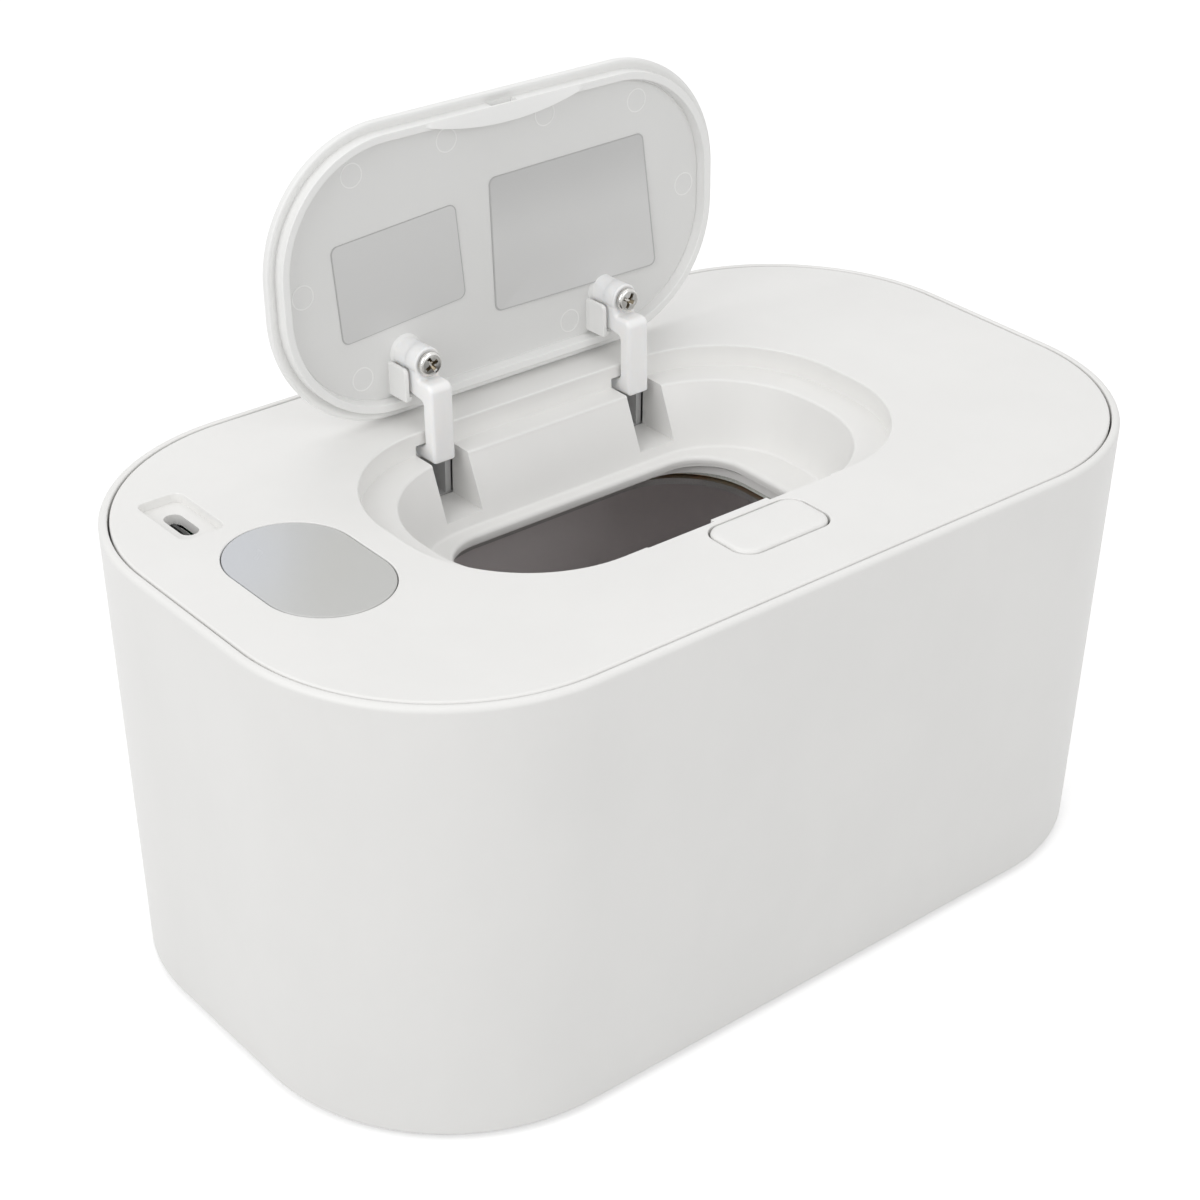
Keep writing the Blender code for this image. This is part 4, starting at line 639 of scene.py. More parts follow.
def window_plastic(name, colour):
    """Display window: satin grey plastic under a painted reflection, bluer towards its back left and
    warmer at its front.
    """
    paint = Paint(name, 0.22)
    low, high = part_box("display_lens")
    back = paint.axis("Y").step(low[1], high[1])
    left = 1 - paint.axis("X").step(low[0], high[0])
    # painted reflection: a mask running from the window's front right to its back left mixes a warm grey
    # into a blue one
    along = (back * 0.55 + left * 0.45).step(0.35, 0.95)
    cloud = paint.noise(16 * MM)
    warm, blue_reflection = (tuple(part * change for part, change in zip(colour, changes))
                  for changes in ((0.985, 0.985, 0.965), (1.0, 1.03, 1.10)))
    paint.set(Base_Color=paint.mix(along * 0.9 + cloud * 0.1, warm, blue_reflection))
    paint.set(Roughness=0.24 + 0.05 * cloud, Coat_Weight=0.35, Coat_Roughness=0.12)
    return paint.material


def bright_metal(name, colour, roughness=0.2):
    """Plated steel: fine turning marks and a few dull patches."""
    paint = Paint(name, roughness, 1.0)
    fine = paint.noise(0.12 * MM, 3.0, 0.6)
    patches = paint.noise(1.6 * MM, 3.0, 0.6)
    paint.tone(patches.step(0.35, 0.7), colour, 0.82)
    paint.set(Roughness=roughness + 0.10 * patches + 0.05 * fine)
    paint.bump(fine, 0.12)
    return paint.material


def rolled_sheet(name, colour):
    """Rolled aluminium: long fine scratches along the sheet."""
    paint = Paint(name, 0.38, 1.0)
    lines = paint.noise(0.25 * MM, 3.0, 0.7, (60.0, 1.0, 1.0))
    paint.tone(lines.step(0.3, 0.7), colour, 0.9)
    paint.set(Roughness=0.30 + 0.16 * lines)
    paint.bump(lines, 0.10)
    return paint.material


def label_film(name, colour, painted_reflection_tone, top, foot):
    """Bare silver label: satin film with faint waves and a painted reflection, toned between its foot
    and its top.
    """
    paint = Paint(name, 0.4, 0.15)
    waves = paint.noise(14 * MM, 2.0, 0.4)
    fine = paint.noise(0.2 * MM)
    # painted reflection: the film shifts to its top tone towards the label's top
    height = paint.axis("Z").step(foot, top)
    paint.tone(height * 0.92 + waves * 0.08, colour, 1.0, painted_reflection_tone)
    paint.set(Roughness=0.34 + 0.08 * waves + 0.05 * fine)
    paint.bump(waves, 0.08, 0.2 * MM)
    return paint.material


def soft_rubber(name, colour, roughness=0.7, grain=0.3 * MM):
    """Rubber, silicone or foam: matt, with a fine open grain."""
    paint = Paint(name, roughness, specular=0.35)
    pores = paint.noise(grain, 4.0, 0.7)
    paint.tone(pores.step(0.3, 0.7), colour, 0.82, 1.1)
    paint.set(Roughness=roughness - 0.08 + 0.16 * pores)
    paint.bump(pores, 0.35, 0.06 * MM)
    return paint.material


def circuit_board(name):
    """Solder mask with faint copper tracks under it."""
    paint = Paint(name, 0.42)
    tracks = paint.node("ShaderNodeTexBrick", {"offset": 0.5, "squash": 1.0}, {
        "Vector": paint.place(), "Scale": 90.0, "Mortar Size": 0.03,
        "Color1": (0.0, 0.0, 0.0, 1.0), "Color2": (0.25, 0.25, 0.25, 1.0),
        "Mortar": (1.0, 1.0, 1.0, 1.0)})
    paint.set(Base_Color=paint.mix(tracks, (0.01, 0.12, 0.05), (0.03, 0.22, 0.09)))
    paint.set(Roughness=0.35 + 0.15 * tracks)
    return paint.material


def heating_track(name):
    """Amber film over a meander of etched foil."""
    paint = Paint(name, 0.3)
    wave = paint.node("ShaderNodeTexWave", {"wave_type": "BANDS", "bands_direction": "X"}, {
        "Vector": paint.place(), "Scale": 60.0, "Distortion": 0.0})
    foil = wave.step(0.45, 0.55)
    paint.set(Base_Color=paint.mix(foil, (0.42, 0.17, 0.03), (0.52, 0.34, 0.16)))
    paint.set(Roughness=0.42 - 0.15 * foil)
    return paint.material


finishes = {}


def make_finishes(colours):
    """Every finish of the object, by the name of its slot in the record or of its piece."""
    finishes.update({
        "casing": moulded_plastic("casing abs", colours.casing, 0.42),
        "cover": moulded_plastic("cover abs", colours.casing, 0.36, 0.22 * MM, 0.07),
        "lid": moulded_plastic("lid abs", colours.lid, 0.34, 0.3 * MM, 0.05, 0.01),
        # a darker, duller copy of the lid's finish for the floor inside the rib
        "lid_floor": moulded_plastic("dimmer lid abs", colours.lid_floor, 0.44, 0.3 * MM, 0.06, 0.01),
        "arm": nylon("arm nylon", colours.arm),
        "tank": moulded_plastic("tank plastic", colours.tank, 0.45, 0.3 * MM, 0.12, 0.015),
        "bracket": moulded_plastic("bracket plastic", colours.bracket, 0.42, 0.3 * MM, 0.1, 0.04),
        "lens": window_plastic("window plastic", colours.lens),
        # painted reflection: the labels' tones at their tops, barely any on the left and darker on the
        # right
        "label_left": label_film("left label film", colours.label, 0.99, 0.145, 0.125),
        "label_right": label_film("right label film", colours.label, 0.83, 0.146, 0.130),
        # painted shadow along the labels' cut edges: a darker shade of the label's colour
        "label_edge_shadow": moulded_plastic("label edge shadow", shade(colours.label, 0.72), 0.5),
        "steel": bright_metal("screw steel", colours.steel, 0.1),
        # painted shade on the screws: a darker steel on their faces, and a dark one as painted shadow in
        # their recesses and round their heads' back edges
        "shaded_steel": bright_metal("shaded face steel", shade(colours.steel, 0.66), 0.12),
        "shadow_steel": bright_metal("recess shadow steel", (0.26, 0.22, 0.16), 0.12),
        "spring": bright_metal("spring steel", shade(colours.steel, 0.8), 0.3),
        "rubber": soft_rubber("foot rubber", (0.07, 0.07, 0.07), 0.75),
        "silicone": soft_rubber("seal silicone", (0.62, 0.62, 0.61), 0.5, 0.6 * MM),
        "foam": soft_rubber("pad foam", (0.62, 0.64, 0.60), 0.9, 0.5 * MM),
        "film": heating_track("heater film"),
        "aluminium": rolled_sheet("heater aluminium", (0.68, 0.69, 0.68)),
        "board": circuit_board("board mask"),
        "black": moulded_plastic("black plastic", (0.02, 0.02, 0.02), 0.45, 0.2 * MM, 0.1, 0.1),
    })


# Outlines shared by the pieces


def casing_outline(casing, inset):
    """The casing's rim, moved inwards."""
    return corner_outline(casing.length, casing.width, casing.corner, -inset)


def cover_outline(casing, inset):
    """The cover's edge, moved inwards: the casing's rim less its wall and the gap."""
    return casing_outline(casing, casing.wall + casing.rim_gap + inset)


def pocket_outline(cover, grow):
    """The lid's pocket, moved outwards."""
    return corner_outline(cover.pocket_length, cover.pocket_width, cover.pocket_corner, grow)


def well_outline(cover, grow):
    """The ledge's inner edge, moved outwards."""
    return corner_outline(
        cover.pocket_length - 2 * cover.ledge_end, cover.pocket_width - 2 * cover.ledge_side,
        cover.well_corner, grow)


def well_floor_outline(cover, grow):
    """The foot of the well's wall, moved outwards."""
    return corner_outline(
        cover.pocket_length - 2 * cover.floor_end, cover.well_floor_width,
        cover.well_floor_corner, grow)


def opening_outline(cover, side, end=None):
    """The dispensing opening, moved outwards, by another distance at its ends if one is given."""
    further = 0.0 if end is None else end - side
    return corner_outline(
        cover.opening_length + 2 * further, cover.opening_width, cover.opening_corner, side)


def window_outline(fittings, grow, steps=corner_steps):
    """The display window's seat, moved outwards: its ends are half circles."""
    return corner_outline(fittings.lens_length, fittings.lens_width, fittings.lens_length / 2,
                          grow, (fittings.lens_x, 0.0), steps)


def button_outline(cover, fittings, grow):
    """The button's hole in front of the pocket, moved outwards."""
    middle = -cover.pocket_width / 2 - fittings.button_bridge - fittings.button_width / 2
    return corner_outline(fittings.button_length, fittings.button_width, fittings.button_corner,
                          grow, (0.0, middle), 16)


def hinge_axis(casing, cover, lid):
    """Where the hinge's axis crosses the middle of the object, as (y, z)."""
    return cover.pocket_width / 2 + lid.hinge_set_back, casing.height - lid.hinge_depth


def open_lid_matrix(casing, cover, lid):
    """From the closed lid's frame, with its origin on the hinge's axis, to the open lid."""
    y, z = hinge_axis(casing, cover, lid)
    return Matrix.Translation((0.0, y, z)) @ Matrix.Rotation(-lid.open_angle, 4, "X")


def arm_blocks(lid, half, low, high):
    """A box at each arm, of a given half width, between two corners in (y, z)."""
    return [block("arm_block", (middle - half, *low), (middle + half, *high))
            for middle in (-lid.hinge_spread / 2, lid.hinge_spread / 2)]


def sizes(context, *names):
    """The scene's settings of these names."""
    return [getattr(context.scene, "warmer_" + name) for name in names]


# Operators


class WARMER_OT_casing(bpy.types.Operator):
    """Make the smooth casing with its rounded rim, and its feet and screws"""

    bl_idname = "warmer.casing"
    bl_label = "Casing"

    def execute(self, context):
        casing = context.scene.warmer_casing
        top = casing.height
        floor_z = casing.foot_proud
        inner_floor = floor_z + casing.floor
        inner_fillet = 3.0 * MM
        head_gap = 0.4 * MM
        shank_length = 4.5 * MM

        def wall(inset, height):
            """Ring on the sloping wall, moved inwards from its outside."""
            return casing_outline(casing, casing.draft * (top - height) + inset), height

        rings = [wall(inset, floor_z + lift) for inset, lift in edge_arc(casing.base_round)[::-1]]
        rings += [wall(inset, top - drop) for inset, drop in edge_arc(casing.rim_round)]
        rings += [(casing_outline(casing, casing.wall - inset), top - drop)
                  for inset, drop in edge_arc(casing.rim_inner_round)[::-1]]
        rings += [wall(casing.wall + inset, inner_floor + lift)
                  for inset, lift in edge_arc(inner_fillet)]
        shell = loft("casing_moulding", rings)
        recesses = []
        for name in ("foot_front_left", "foot_front_right", "foot_rear_left", "foot_rear_right"):
            centre, low, high = node_place(name)
            recesses.append(bore(centre, casing.foot_radius + seat_gap, floor_z - overrun,
                                 high[2] + seat_gap, round_sides))
            self.make_foot(name, centre, high[2], casing.foot_radius)
        for number in range(1, 5):
            name = f"base_screw_{number}"
            centre, low, high = node_place(name)
            radius = (high[0] - low[0]) / 2
            recesses.append(
                bore(centre, radius + head_gap, floor_z - overrun, inner_floor - seat_gap))
            place = Matrix.Translation((*centre, low[2] + screw_head))
            make_screw(f"base_screw_head_{number}", radius, shank_length, place, "body", name)
        carve(shell, recesses)
        finish_piece(shell, "body", "casing", ["outer_shell"])
        return {"FINISHED"}

    def make_foot(self, name, centre, top, radius):
        """Rubber foot with a rounded lower edge and a shallow dished face."""
        edge = 0.5 * MM
        dish_edge, dish_foot, dish = radius - 1.6 * MM, radius - 1.9 * MM, 0.25 * MM
        profile = [(0.0, top), (radius, top)]
        profile += [(radius - inset, drop) for inset, drop in edge_arc(edge)]
        profile += [(dish_edge, 0.0), (dish_foot, dish), (0.0, dish)]
        foot = turned(name + "_pad", profile, centre)
        finish_piece(foot, "body", "rubber", [name])


def make_screw(name, head_radius, length, place, body, node):
    """Pan-head screw, shank up: a round-shouldered head with a four-armed recess.

    The shoulder is a quarter ellipse, and the face inside it rises as a shallow parabola. The
    recess's sides and the head's back edge are dark with painted shadow, the face has a lighter
    painted shade, and the rest is bright.
    """
    shoulder = screw_head * 0.5
    dome = screw_head * 0.12
    face = head_radius * 0.78
    back_edge = 0.25 * MM
    tip = 0.8 * MM
    t = np.linspace(0.0, QUARTER_TURN, 7)
    edge = np.column_stack((face + (head_radius - face) * np.cos(t),
                            dome + shoulder - screw_head - shoulder * np.sin(t)))
    across = np.linspace(0.8, 0.0, 4)
    crown = np.column_stack((face * across, dome * across ** 2 - screw_head))
    profile = [(0.0, length), (screw_shank * 0.6, length), (screw_shank, length - tip),
               (screw_shank, 0.0), (head_radius * 0.95, 0.0), (head_radius * 0.98, -back_edge)]
    screw = turned(name, profile + edge.tolist() + crown.tolist(), sides=small_sides)
    reach, half, waist = head_radius * 0.72, head_radius * 0.17, head_radius * 0.28
    arm = np.array([(waist, -half), (reach, -half), (reach, half), (waist, half)])
    quarter = np.array([(0.0, 1.0), (-1.0, 0.0)])
    star = np.concatenate([arm @ np.linalg.matrix_power(quarter, turn) for turn in range(4)])
    middle = -screw_head * 0.35
    carve(screw, [loft("recess", [
        (star * 0.35, middle), (star * 0.8, -screw_head * 0.75), (star, -screw_head),
        (star, -screw_head - overrun)])])
    centres = face_centres(screw)
    z = centres[:, 2]
    out = np.hypot(centres[:, 0], centres[:, 1])
    front = z < middle - overlap
    shaded_recess_sides = front & (z > dome * 1.15 - screw_head) & (out < face * 0.98)
    back = (out > head_radius * 0.9) & (z > -back_edge)
    # painted shadow: dark steel on the recess's sides and the head's back edge; painted shade: darker
    # steel on the face
    zones = np.select([shaded_recess_sides | back, front & (out < face)], [2, 1])
    move_mesh(screw, place)
    finish_piece(screw, body, "steel", [node])
    paint_faces(screw, ("shaded_steel", "shadow_steel"), zones)


class WARMER_OT_tank(bpy.types.Operator):
    """Make the smooth inner tank"""

    bl_idname = "warmer.tank"
    bl_label = "Tank"

    def execute(self, context):
        casing = context.scene.warmer_casing
        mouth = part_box("inner_tank")[1][2]
        step_depth = 2.6 * MM
        step_width = 0.6 * MM
        mouth_round = 0.3 * MM
        under = casing.tank_lift
        floor_z = under + casing.tank_wall
        rim = casing.tank_mouth_inset - step_width

        def wall(inset, height):
            """Ring on the sloping wall, moved inwards from its outside."""
            slope = casing.tank_draft * (mouth - height)
            outer = casing.tank_mouth_inset - casing.tank_wall
            return cover_outline(casing, outer + slope + inset), height

        rings = [wall(inset, under + lift) for inset, lift in edge_arc(casing.tank_fillet)[::-1]]
        rings.append(wall(0.0, mouth - flange))
        rings += [(cover_outline(casing, flange_inset), mouth - drop) for drop in (flange, 0.0)]
        rings += [(cover_outline(casing, rim - inset), mouth - drop)
                  for inset, drop in edge_arc(mouth_round, 3)[::-1]]
        rings.append((cover_outline(casing, rim), mouth - step_depth))
        rings.append(wall(casing.tank_wall, mouth - step_depth))
        rings += [wall(casing.tank_wall + inset, floor_z + lift)
                  for inset, lift in edge_arc(casing.tank_fillet - casing.tank_wall, 10)]
        tank = loft("tank_moulding", rings)
        finish_piece(tank, "body", "tank", ["inner_tank"])
        return {"FINISHED"}


class WARMER_OT_cover(bpy.types.Operator):
    """Make the cover moulding with its pocket, well, opening, notches and recesses"""

    bl_idname = "warmer.cover"
    bl_label = "Cover"

    def execute(self, context):
        casing, cover, fittings, lid = sizes(context, "casing", "cover", "fittings", "lid")
        top = casing.height
        rings = [(cover_outline(casing, cover.skirt_wall + casing.draft * depth), top - depth)
                 for depth in (cover.plate, cover.skirt_depth)]
        rings.append((cover_outline(casing, casing.draft * cover.skirt_depth),
                      top - cover.skirt_depth))
        rings += [(cover_outline(casing, casing.draft * drop + inset), top - drop)
                  for inset, drop in edge_arc(cover.edge_round)]
        piece = loft("cover_moulding", rings)
        carve(piece, self.below_plate(top, cover, fittings, lid), "UNION")
        carve(piece, [self.pocket_tool(top, cover), self.relief_tool(top, cover)])
        carve(piece, [self.tab(top, cover)], "UNION")
        carve(piece, self.notch_tools(top, cover, lid)
              + self.fitting_tools(top, cover, fittings) + [self.hook_window(top, cover)])
        finish_piece(piece, "cover", "cover", ["top_cover"])
        return {"FINISHED"}

    def below_plate(self, top, cover, fittings, lid):
        """What hangs under the plate: tub, collar, hinge channels, window frame and inlet floor."""
        wall = 1.8 * MM
        floor = 2.0 * MM
        channel_tail = 0.3 * MM
        edge = 1.5 * MM
        joint = top - cover.plate / 2
        ledge_under = top - cover.pocket_depth - wall
        under = top - cover.well_depth - floor
        tub = loft("tub", [
            (pocket_outline(cover, wall), joint),
            (pocket_outline(cover, wall), ledge_under),
            (well_outline(cover, wall), ledge_under),
            (well_floor_outline(cover, wall), under + floor / 2),
            (well_floor_outline(cover, wall / 2), under)])
        collar = prism("collar", opening_outline(cover, wall), top - cover.collar_depth,
                       under + floor / 2)
        channels = arm_blocks(
            lid, cover.notch_width / 2 + wall,
            (cover.well_floor_width / 2 + wall, top - cover.notch_floor - wall),
            (cover.pocket_width / 2 + channel_tail, top - cover.pocket_depth))
        window_frame = prism("window_frame", window_outline(fittings, edge),
                             top - fittings.lens_thickness - seat_gap - edge, joint)
        inlet_floor = prism("inlet_floor", corner_outline(
            fittings.usb_length + 2 * edge, fittings.usb_width + 2 * edge, fittings.usb_corner,
            0.0, (fittings.usb_x, fittings.usb_y), 8),
            top - fittings.usb_depth - fittings.usb_wall, joint)
        return [tub, collar, *channels, window_frame, inlet_floor]

    def pocket_tool(self, top, cover):
        """One loft down the pocket's wall, over the ledge, down the well and through its lip."""
        ledge_fillet = 0.15 * MM
        seam_step = 0.3 * MM
        seam_height = 0.05 * MM
        seam = top - cover.collar_depth + cover.collar_band
        ledge = top - cover.pocket_depth
        floor = top - cover.well_depth
        rings = [(pocket_outline(cover, cover.pocket_edge), top + overrun)]
        rings += [(pocket_outline(cover, inset), top - drop)
                  for inset, drop in edge_arc(cover.pocket_edge)[::-1]]
        rings += [(pocket_outline(cover, -inset), ledge + lift)
                  for inset, lift in edge_arc(ledge_fillet)]
        rings += [(well_outline(cover, inset), ledge - drop)
                  for inset, drop in edge_arc(cover.ledge_round)[::-1]]
        rings += [(well_floor_outline(cover, -inset), floor + lift)
                  for inset, lift in edge_arc(cover.well_fillet)]
        rings += [(opening_outline(cover, inset), floor - drop)
                  for inset, drop in edge_arc(cover.lip_round, 10)[::-1]]
        rings += [(opening_outline(cover, 0.0), seam),
                  (opening_outline(cover, seam_step), seam - seam_height),
                  (opening_outline(cover, seam_step), top - cover.collar_depth - overrun)]
        return loft("pocket_tool", rings)

    def relief_tool(self, top, cover):
        """Shallow recess along the middle of the pocket's front wall."""
        depth = cover.relief_depth
        plan = corner_outline(cover.relief_width, 4 * depth, depth * 0.9, 0.0,
                              (0.0, depth - cover.pocket_width / 2), 6)
        return prism("relief", plan, top - cover.pocket_depth, top + overrun)

    def tab(self, top, cover):
        """Small tab over the latch's window."""
        root = 0.9 * MM
        foot = 5.9 * MM
        half = cover.tab_width / 2
        front = -cover.pocket_width / 2
        return block("tab", (-half, front - root, top - foot),
                     (half, front + cover.tab_proud, top - overlap))

    def hook_window(self, top, cover):
        """Window in the pocket's front wall through which the latch's hook reaches."""
        half = 7.3 * MM
        depth = 3.6 * MM
        roof = 1.4 * MM
        front = -cover.pocket_width / 2
        return block("hook_window", (-half, front - depth, top - cover.pocket_depth),
                     (half, front + overrun, top - roof))

    def notch_tools(self, top, cover, lid):
        """Straight channels for the arms through the well's and the pocket's rear walls."""
        wall = 1.8 * MM
        return arm_blocks(lid, cover.notch_width / 2, (0.0, top - cover.notch_floor),
                          (cover.pocket_width / 2 + wall + overrun, top - cover.notch_roof))

    def fitting_tools(self, top, cover, fittings):
        """Seats of the window, the inlet and the button, each with a softened upper edge."""
        soft = 0.25 * MM
        lens_ledge = 2.0 * MM
        slot_length, slot_width = 3.86 * MM, 9.54 * MM
        usb = (fittings.usb_x, fittings.usb_y)

        def seat(name, outline, depth):
            rings = [(outline(soft), top + overrun)]
            rings += [(outline(inset), top - drop) for inset, drop in edge_arc(soft, 4)[::-1]]
            return loft(name, rings + [(outline(0.0), top - depth)])

        def usb_outline(grow):
            return corner_outline(fittings.usb_length, fittings.usb_width, fittings.usb_corner,
                                  grow, usb, 12)

        slot = corner_outline(slot_length, slot_width, slot_length / 2, 0.0, usb, 16)
        return [
            seat("lens_seat", lambda grow: window_outline(fittings, grow),
                 fittings.lens_thickness + seat_gap),
            prism("window", window_outline(fittings, -lens_ledge, 16), top - overrun, top),
            seat("inlet_seat", usb_outline, fittings.usb_depth),
            prism("slot", slot, top - fittings.usb_depth - overrun, top),
            seat("button_seat", lambda grow: button_outline(cover, fittings, grow),
                 cover.plate + overrun)]


class WARMER_OT_lower_cover(bpy.types.Operator):
    """Make the lower cover with its seal, foam, heating film and heater plate"""

    bl_idname = "warmer.lower_cover"
    bl_label = "Lower cover"

    def execute(self, context):
        casing, cover = sizes(context, "casing", "cover")
        self.make_tray(casing, cover)
        self.make_seal(casing)
        layers = (
            ("insulation_pad", "foam_sheet", 1.0, "foam", "foam"),
            ("heating_film", "film_sheet", 3.0, "film", "heating_film"),
            ("heater_plate", "plate_sheet", 0.0, "aluminium", "aluminium"))
        for node, name, inset, finish, slot in layers:
            self.make_layer(cover, node, name, inset * MM, finish, slot)
        return {"FINISHED"}

    def make_tray(self, casing, cover):
        """Tray with a flange, a rounded lower edge and the heater's mouth."""
        low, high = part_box("cover_base")
        wall_inset = 8.6 * MM
        wall = 1.8 * MM
        foot_round = 2.0 * MM
        screw_radius = 1.5 * MM
        rings = [(cover_outline(casing, wall_inset + inset), low[2] + lift)
                 for inset, lift in edge_arc(foot_round)[::-1]]
        rings += [(cover_outline(casing, inset), height) for inset, height in (
            (wall_inset, high[2] - flange), (flange_inset, high[2] - flange),
            (flange_inset, high[2]), (wall_inset + wall, high[2]),
            (wall_inset + wall, low[2] + wall))]
        tray = loft("lower_cover_moulding", rings)
        carve(tray, self.holes(opening_outline(cover, 4.0 * MM, 1.6 * MM), "cover_screw", 6,
                               screw_radius, low[2], low[2] + wall))
        finish_piece(tray, "cover", "cover", ["cover_base"])

    def make_seal(self, casing):
        """Seal: an ellipse carried round the cover's edge."""
        low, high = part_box("cover_seal")
        inset, width = 1.6 * MM, 4.4 * MM
        half = (high[2] - low[2]) / 2
        rings = [(cover_outline(casing, inset + width / 2 * (1 - math.cos(turn))),
                  low[2] + half * (1 + math.sin(turn)))
                 for turn in np.linspace(0.0, FULL_TURN, 24, endpoint=False)]
        seal = loft("seal_ring", rings, ends=False)
        finish_piece(seal, "cover", "silicone", ["cover_seal"])

    def make_layer(self, cover, node, name, inset, finish, slot):
        """Flat layer of the heater, smaller than the plate by the inset, with its holes."""
        low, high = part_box(node)
        length, width, corner = 132.0 * MM, 84.0 * MM, 26.0 * MM
        screw_radius = 1.3 * MM
        mouth = opening_outline(cover, 8.4 * MM + inset / 2, 2.0 * MM + inset / 2)
        layer = prism(name, corner_outline(length, width, corner, -inset), low[2], high[2])
        carve(layer, self.holes(mouth, "heater_screw", 4, screw_radius, low[2], high[2]))
        finish_piece(layer, "cover", finish, [node])

    def holes(self, mouth, screw, count, radius, start, end):
        """Tools for the mouth, the temperature sensor and the screws of a flat part."""
        start, end = start - overrun, end + overrun
        centre, low, high = node_place("temperature_sensor")
        return [
            prism("mouth", mouth, start, end),
            bore(centre, (high[1] - low[1]) / 2 + seat_gap, start, end),
            *(bore(node_place(f"{screw}_{number}")[0], radius, start, end)
              for number in range(1, count + 1))]


class WARMER_OT_fittings(bpy.types.Operator):
    """Make the display window, the button and the inlet's shell"""

    bl_idname = "warmer.fittings"
    bl_label = "Window, button and inlet"

    def execute(self, context):
        casing, cover, fittings = sizes(context, "casing", "cover", "fittings")
        top = casing.height
        soft = 0.3 * MM
        gap = fittings.lens_gap
        rings = [(window_outline(fittings, -gap), top - fittings.lens_thickness)]
        rings += [(window_outline(fittings, -gap - inset), top - drop)
                  for inset, drop in edge_arc(soft)]
        window = loft("display_window", rings)
        finish_piece(window, "cover", "lens", ["display_lens"])
        self.make_button(casing, cover, fittings)
        self.make_inlet(top - fittings.usb_depth - fittings.usb_wall - seat_gap)
        return {"FINISHED"}

    def make_button(self, casing, cover, fittings):
        """Button cap with a rounded edge and a slightly crowned face, on a skirt, and its cam."""
        skirt = 1.2 * MM
        skirt_top = 1.4 * MM
        crown = 0.12 * MM
        crown_inset = 2.4 * MM
        window_half = 8.3 * MM
        gap = fittings.button_gap
        top = casing.height + fittings.button_proud
        foot = casing.height - 3.5 * MM
        edge = fittings.button_round
        back = -cover.pocket_width / 2 - fittings.button_bridge
        middle = back - fittings.button_width / 2

        def outline(inset):
            return button_outline(cover, fittings, -gap - inset)

        rings = [(outline(skirt), top - skirt_top), (outline(skirt), foot), (outline(0.0), foot)]
        rings += [(outline(inset), top - crown - drop * (edge - crown) / edge)
                  for inset, drop in edge_arc(edge, 8)]
        button = loft("button_cap", rings + [(outline(crown_inset), top)])
        carve(button, [block(
            "rear_window", (-window_half, middle, foot - overrun),
            (window_half, middle + fittings.button_width, top - skirt_top))])
        cam_half, cam_top, cam_foot = 3.0 * MM, top - 1.0 * MM, top - 5.7 * MM
        heel, nose, shoulder = back - gap - 2.8 * MM, 5.3 * MM, top - 2.4 * MM
        cam = prism("cam", np.array([
            (heel, cam_top), (heel - nose, cam_top), (heel - nose, shoulder),
            (heel - 2.0 * MM, cam_foot), (heel, cam_foot)]), -cam_half, cam_half, "X")
        carve(button, [cam], "UNION")
        finish_piece(button, "button", "cover", ["push_button"])

    def make_inlet(self, rim):
        """Steel shell of the inlet with rounded ends, up to the height of its rim."""
        centre, low, high = node_place("usb_shell")
        wall = 0.3 * MM
        length, width = high[0] - low[0], high[1] - low[1]
        outer, inner = (corner_outline(length, width, length / 2, grow, centre, 16)
                        for grow in (0.0, -wall))
        shell = loft("inlet_shell", [
            (outer, low[2]), (outer, rim), (inner, rim), (inner, low[2] + wall)])
        finish_piece(shell, "cover", "steel", ["usb_shell"])


# In millimetres from the closed lid's centre: the ejector marks' middles and the labels' corners
ejector_marks = ((-36.6, -21.9), (-13.5, -24.0), (11.5, -24.1), (36.1, -21.8), (49.4, -0.3),
                 (-49.7, 0.1), (-36.9, 21.2), (17.0, 23.0))
label_corners = {
    "label_left": ((-42.7, -8.3), (-12.1, -10.5), (-10.3, 10.2), (-41.1, 12.9)),
    "label_right": ((-3.4, -13.7), (37.7, -14.5), (40.7, 15.8), (-2.8, 15.7)),
}


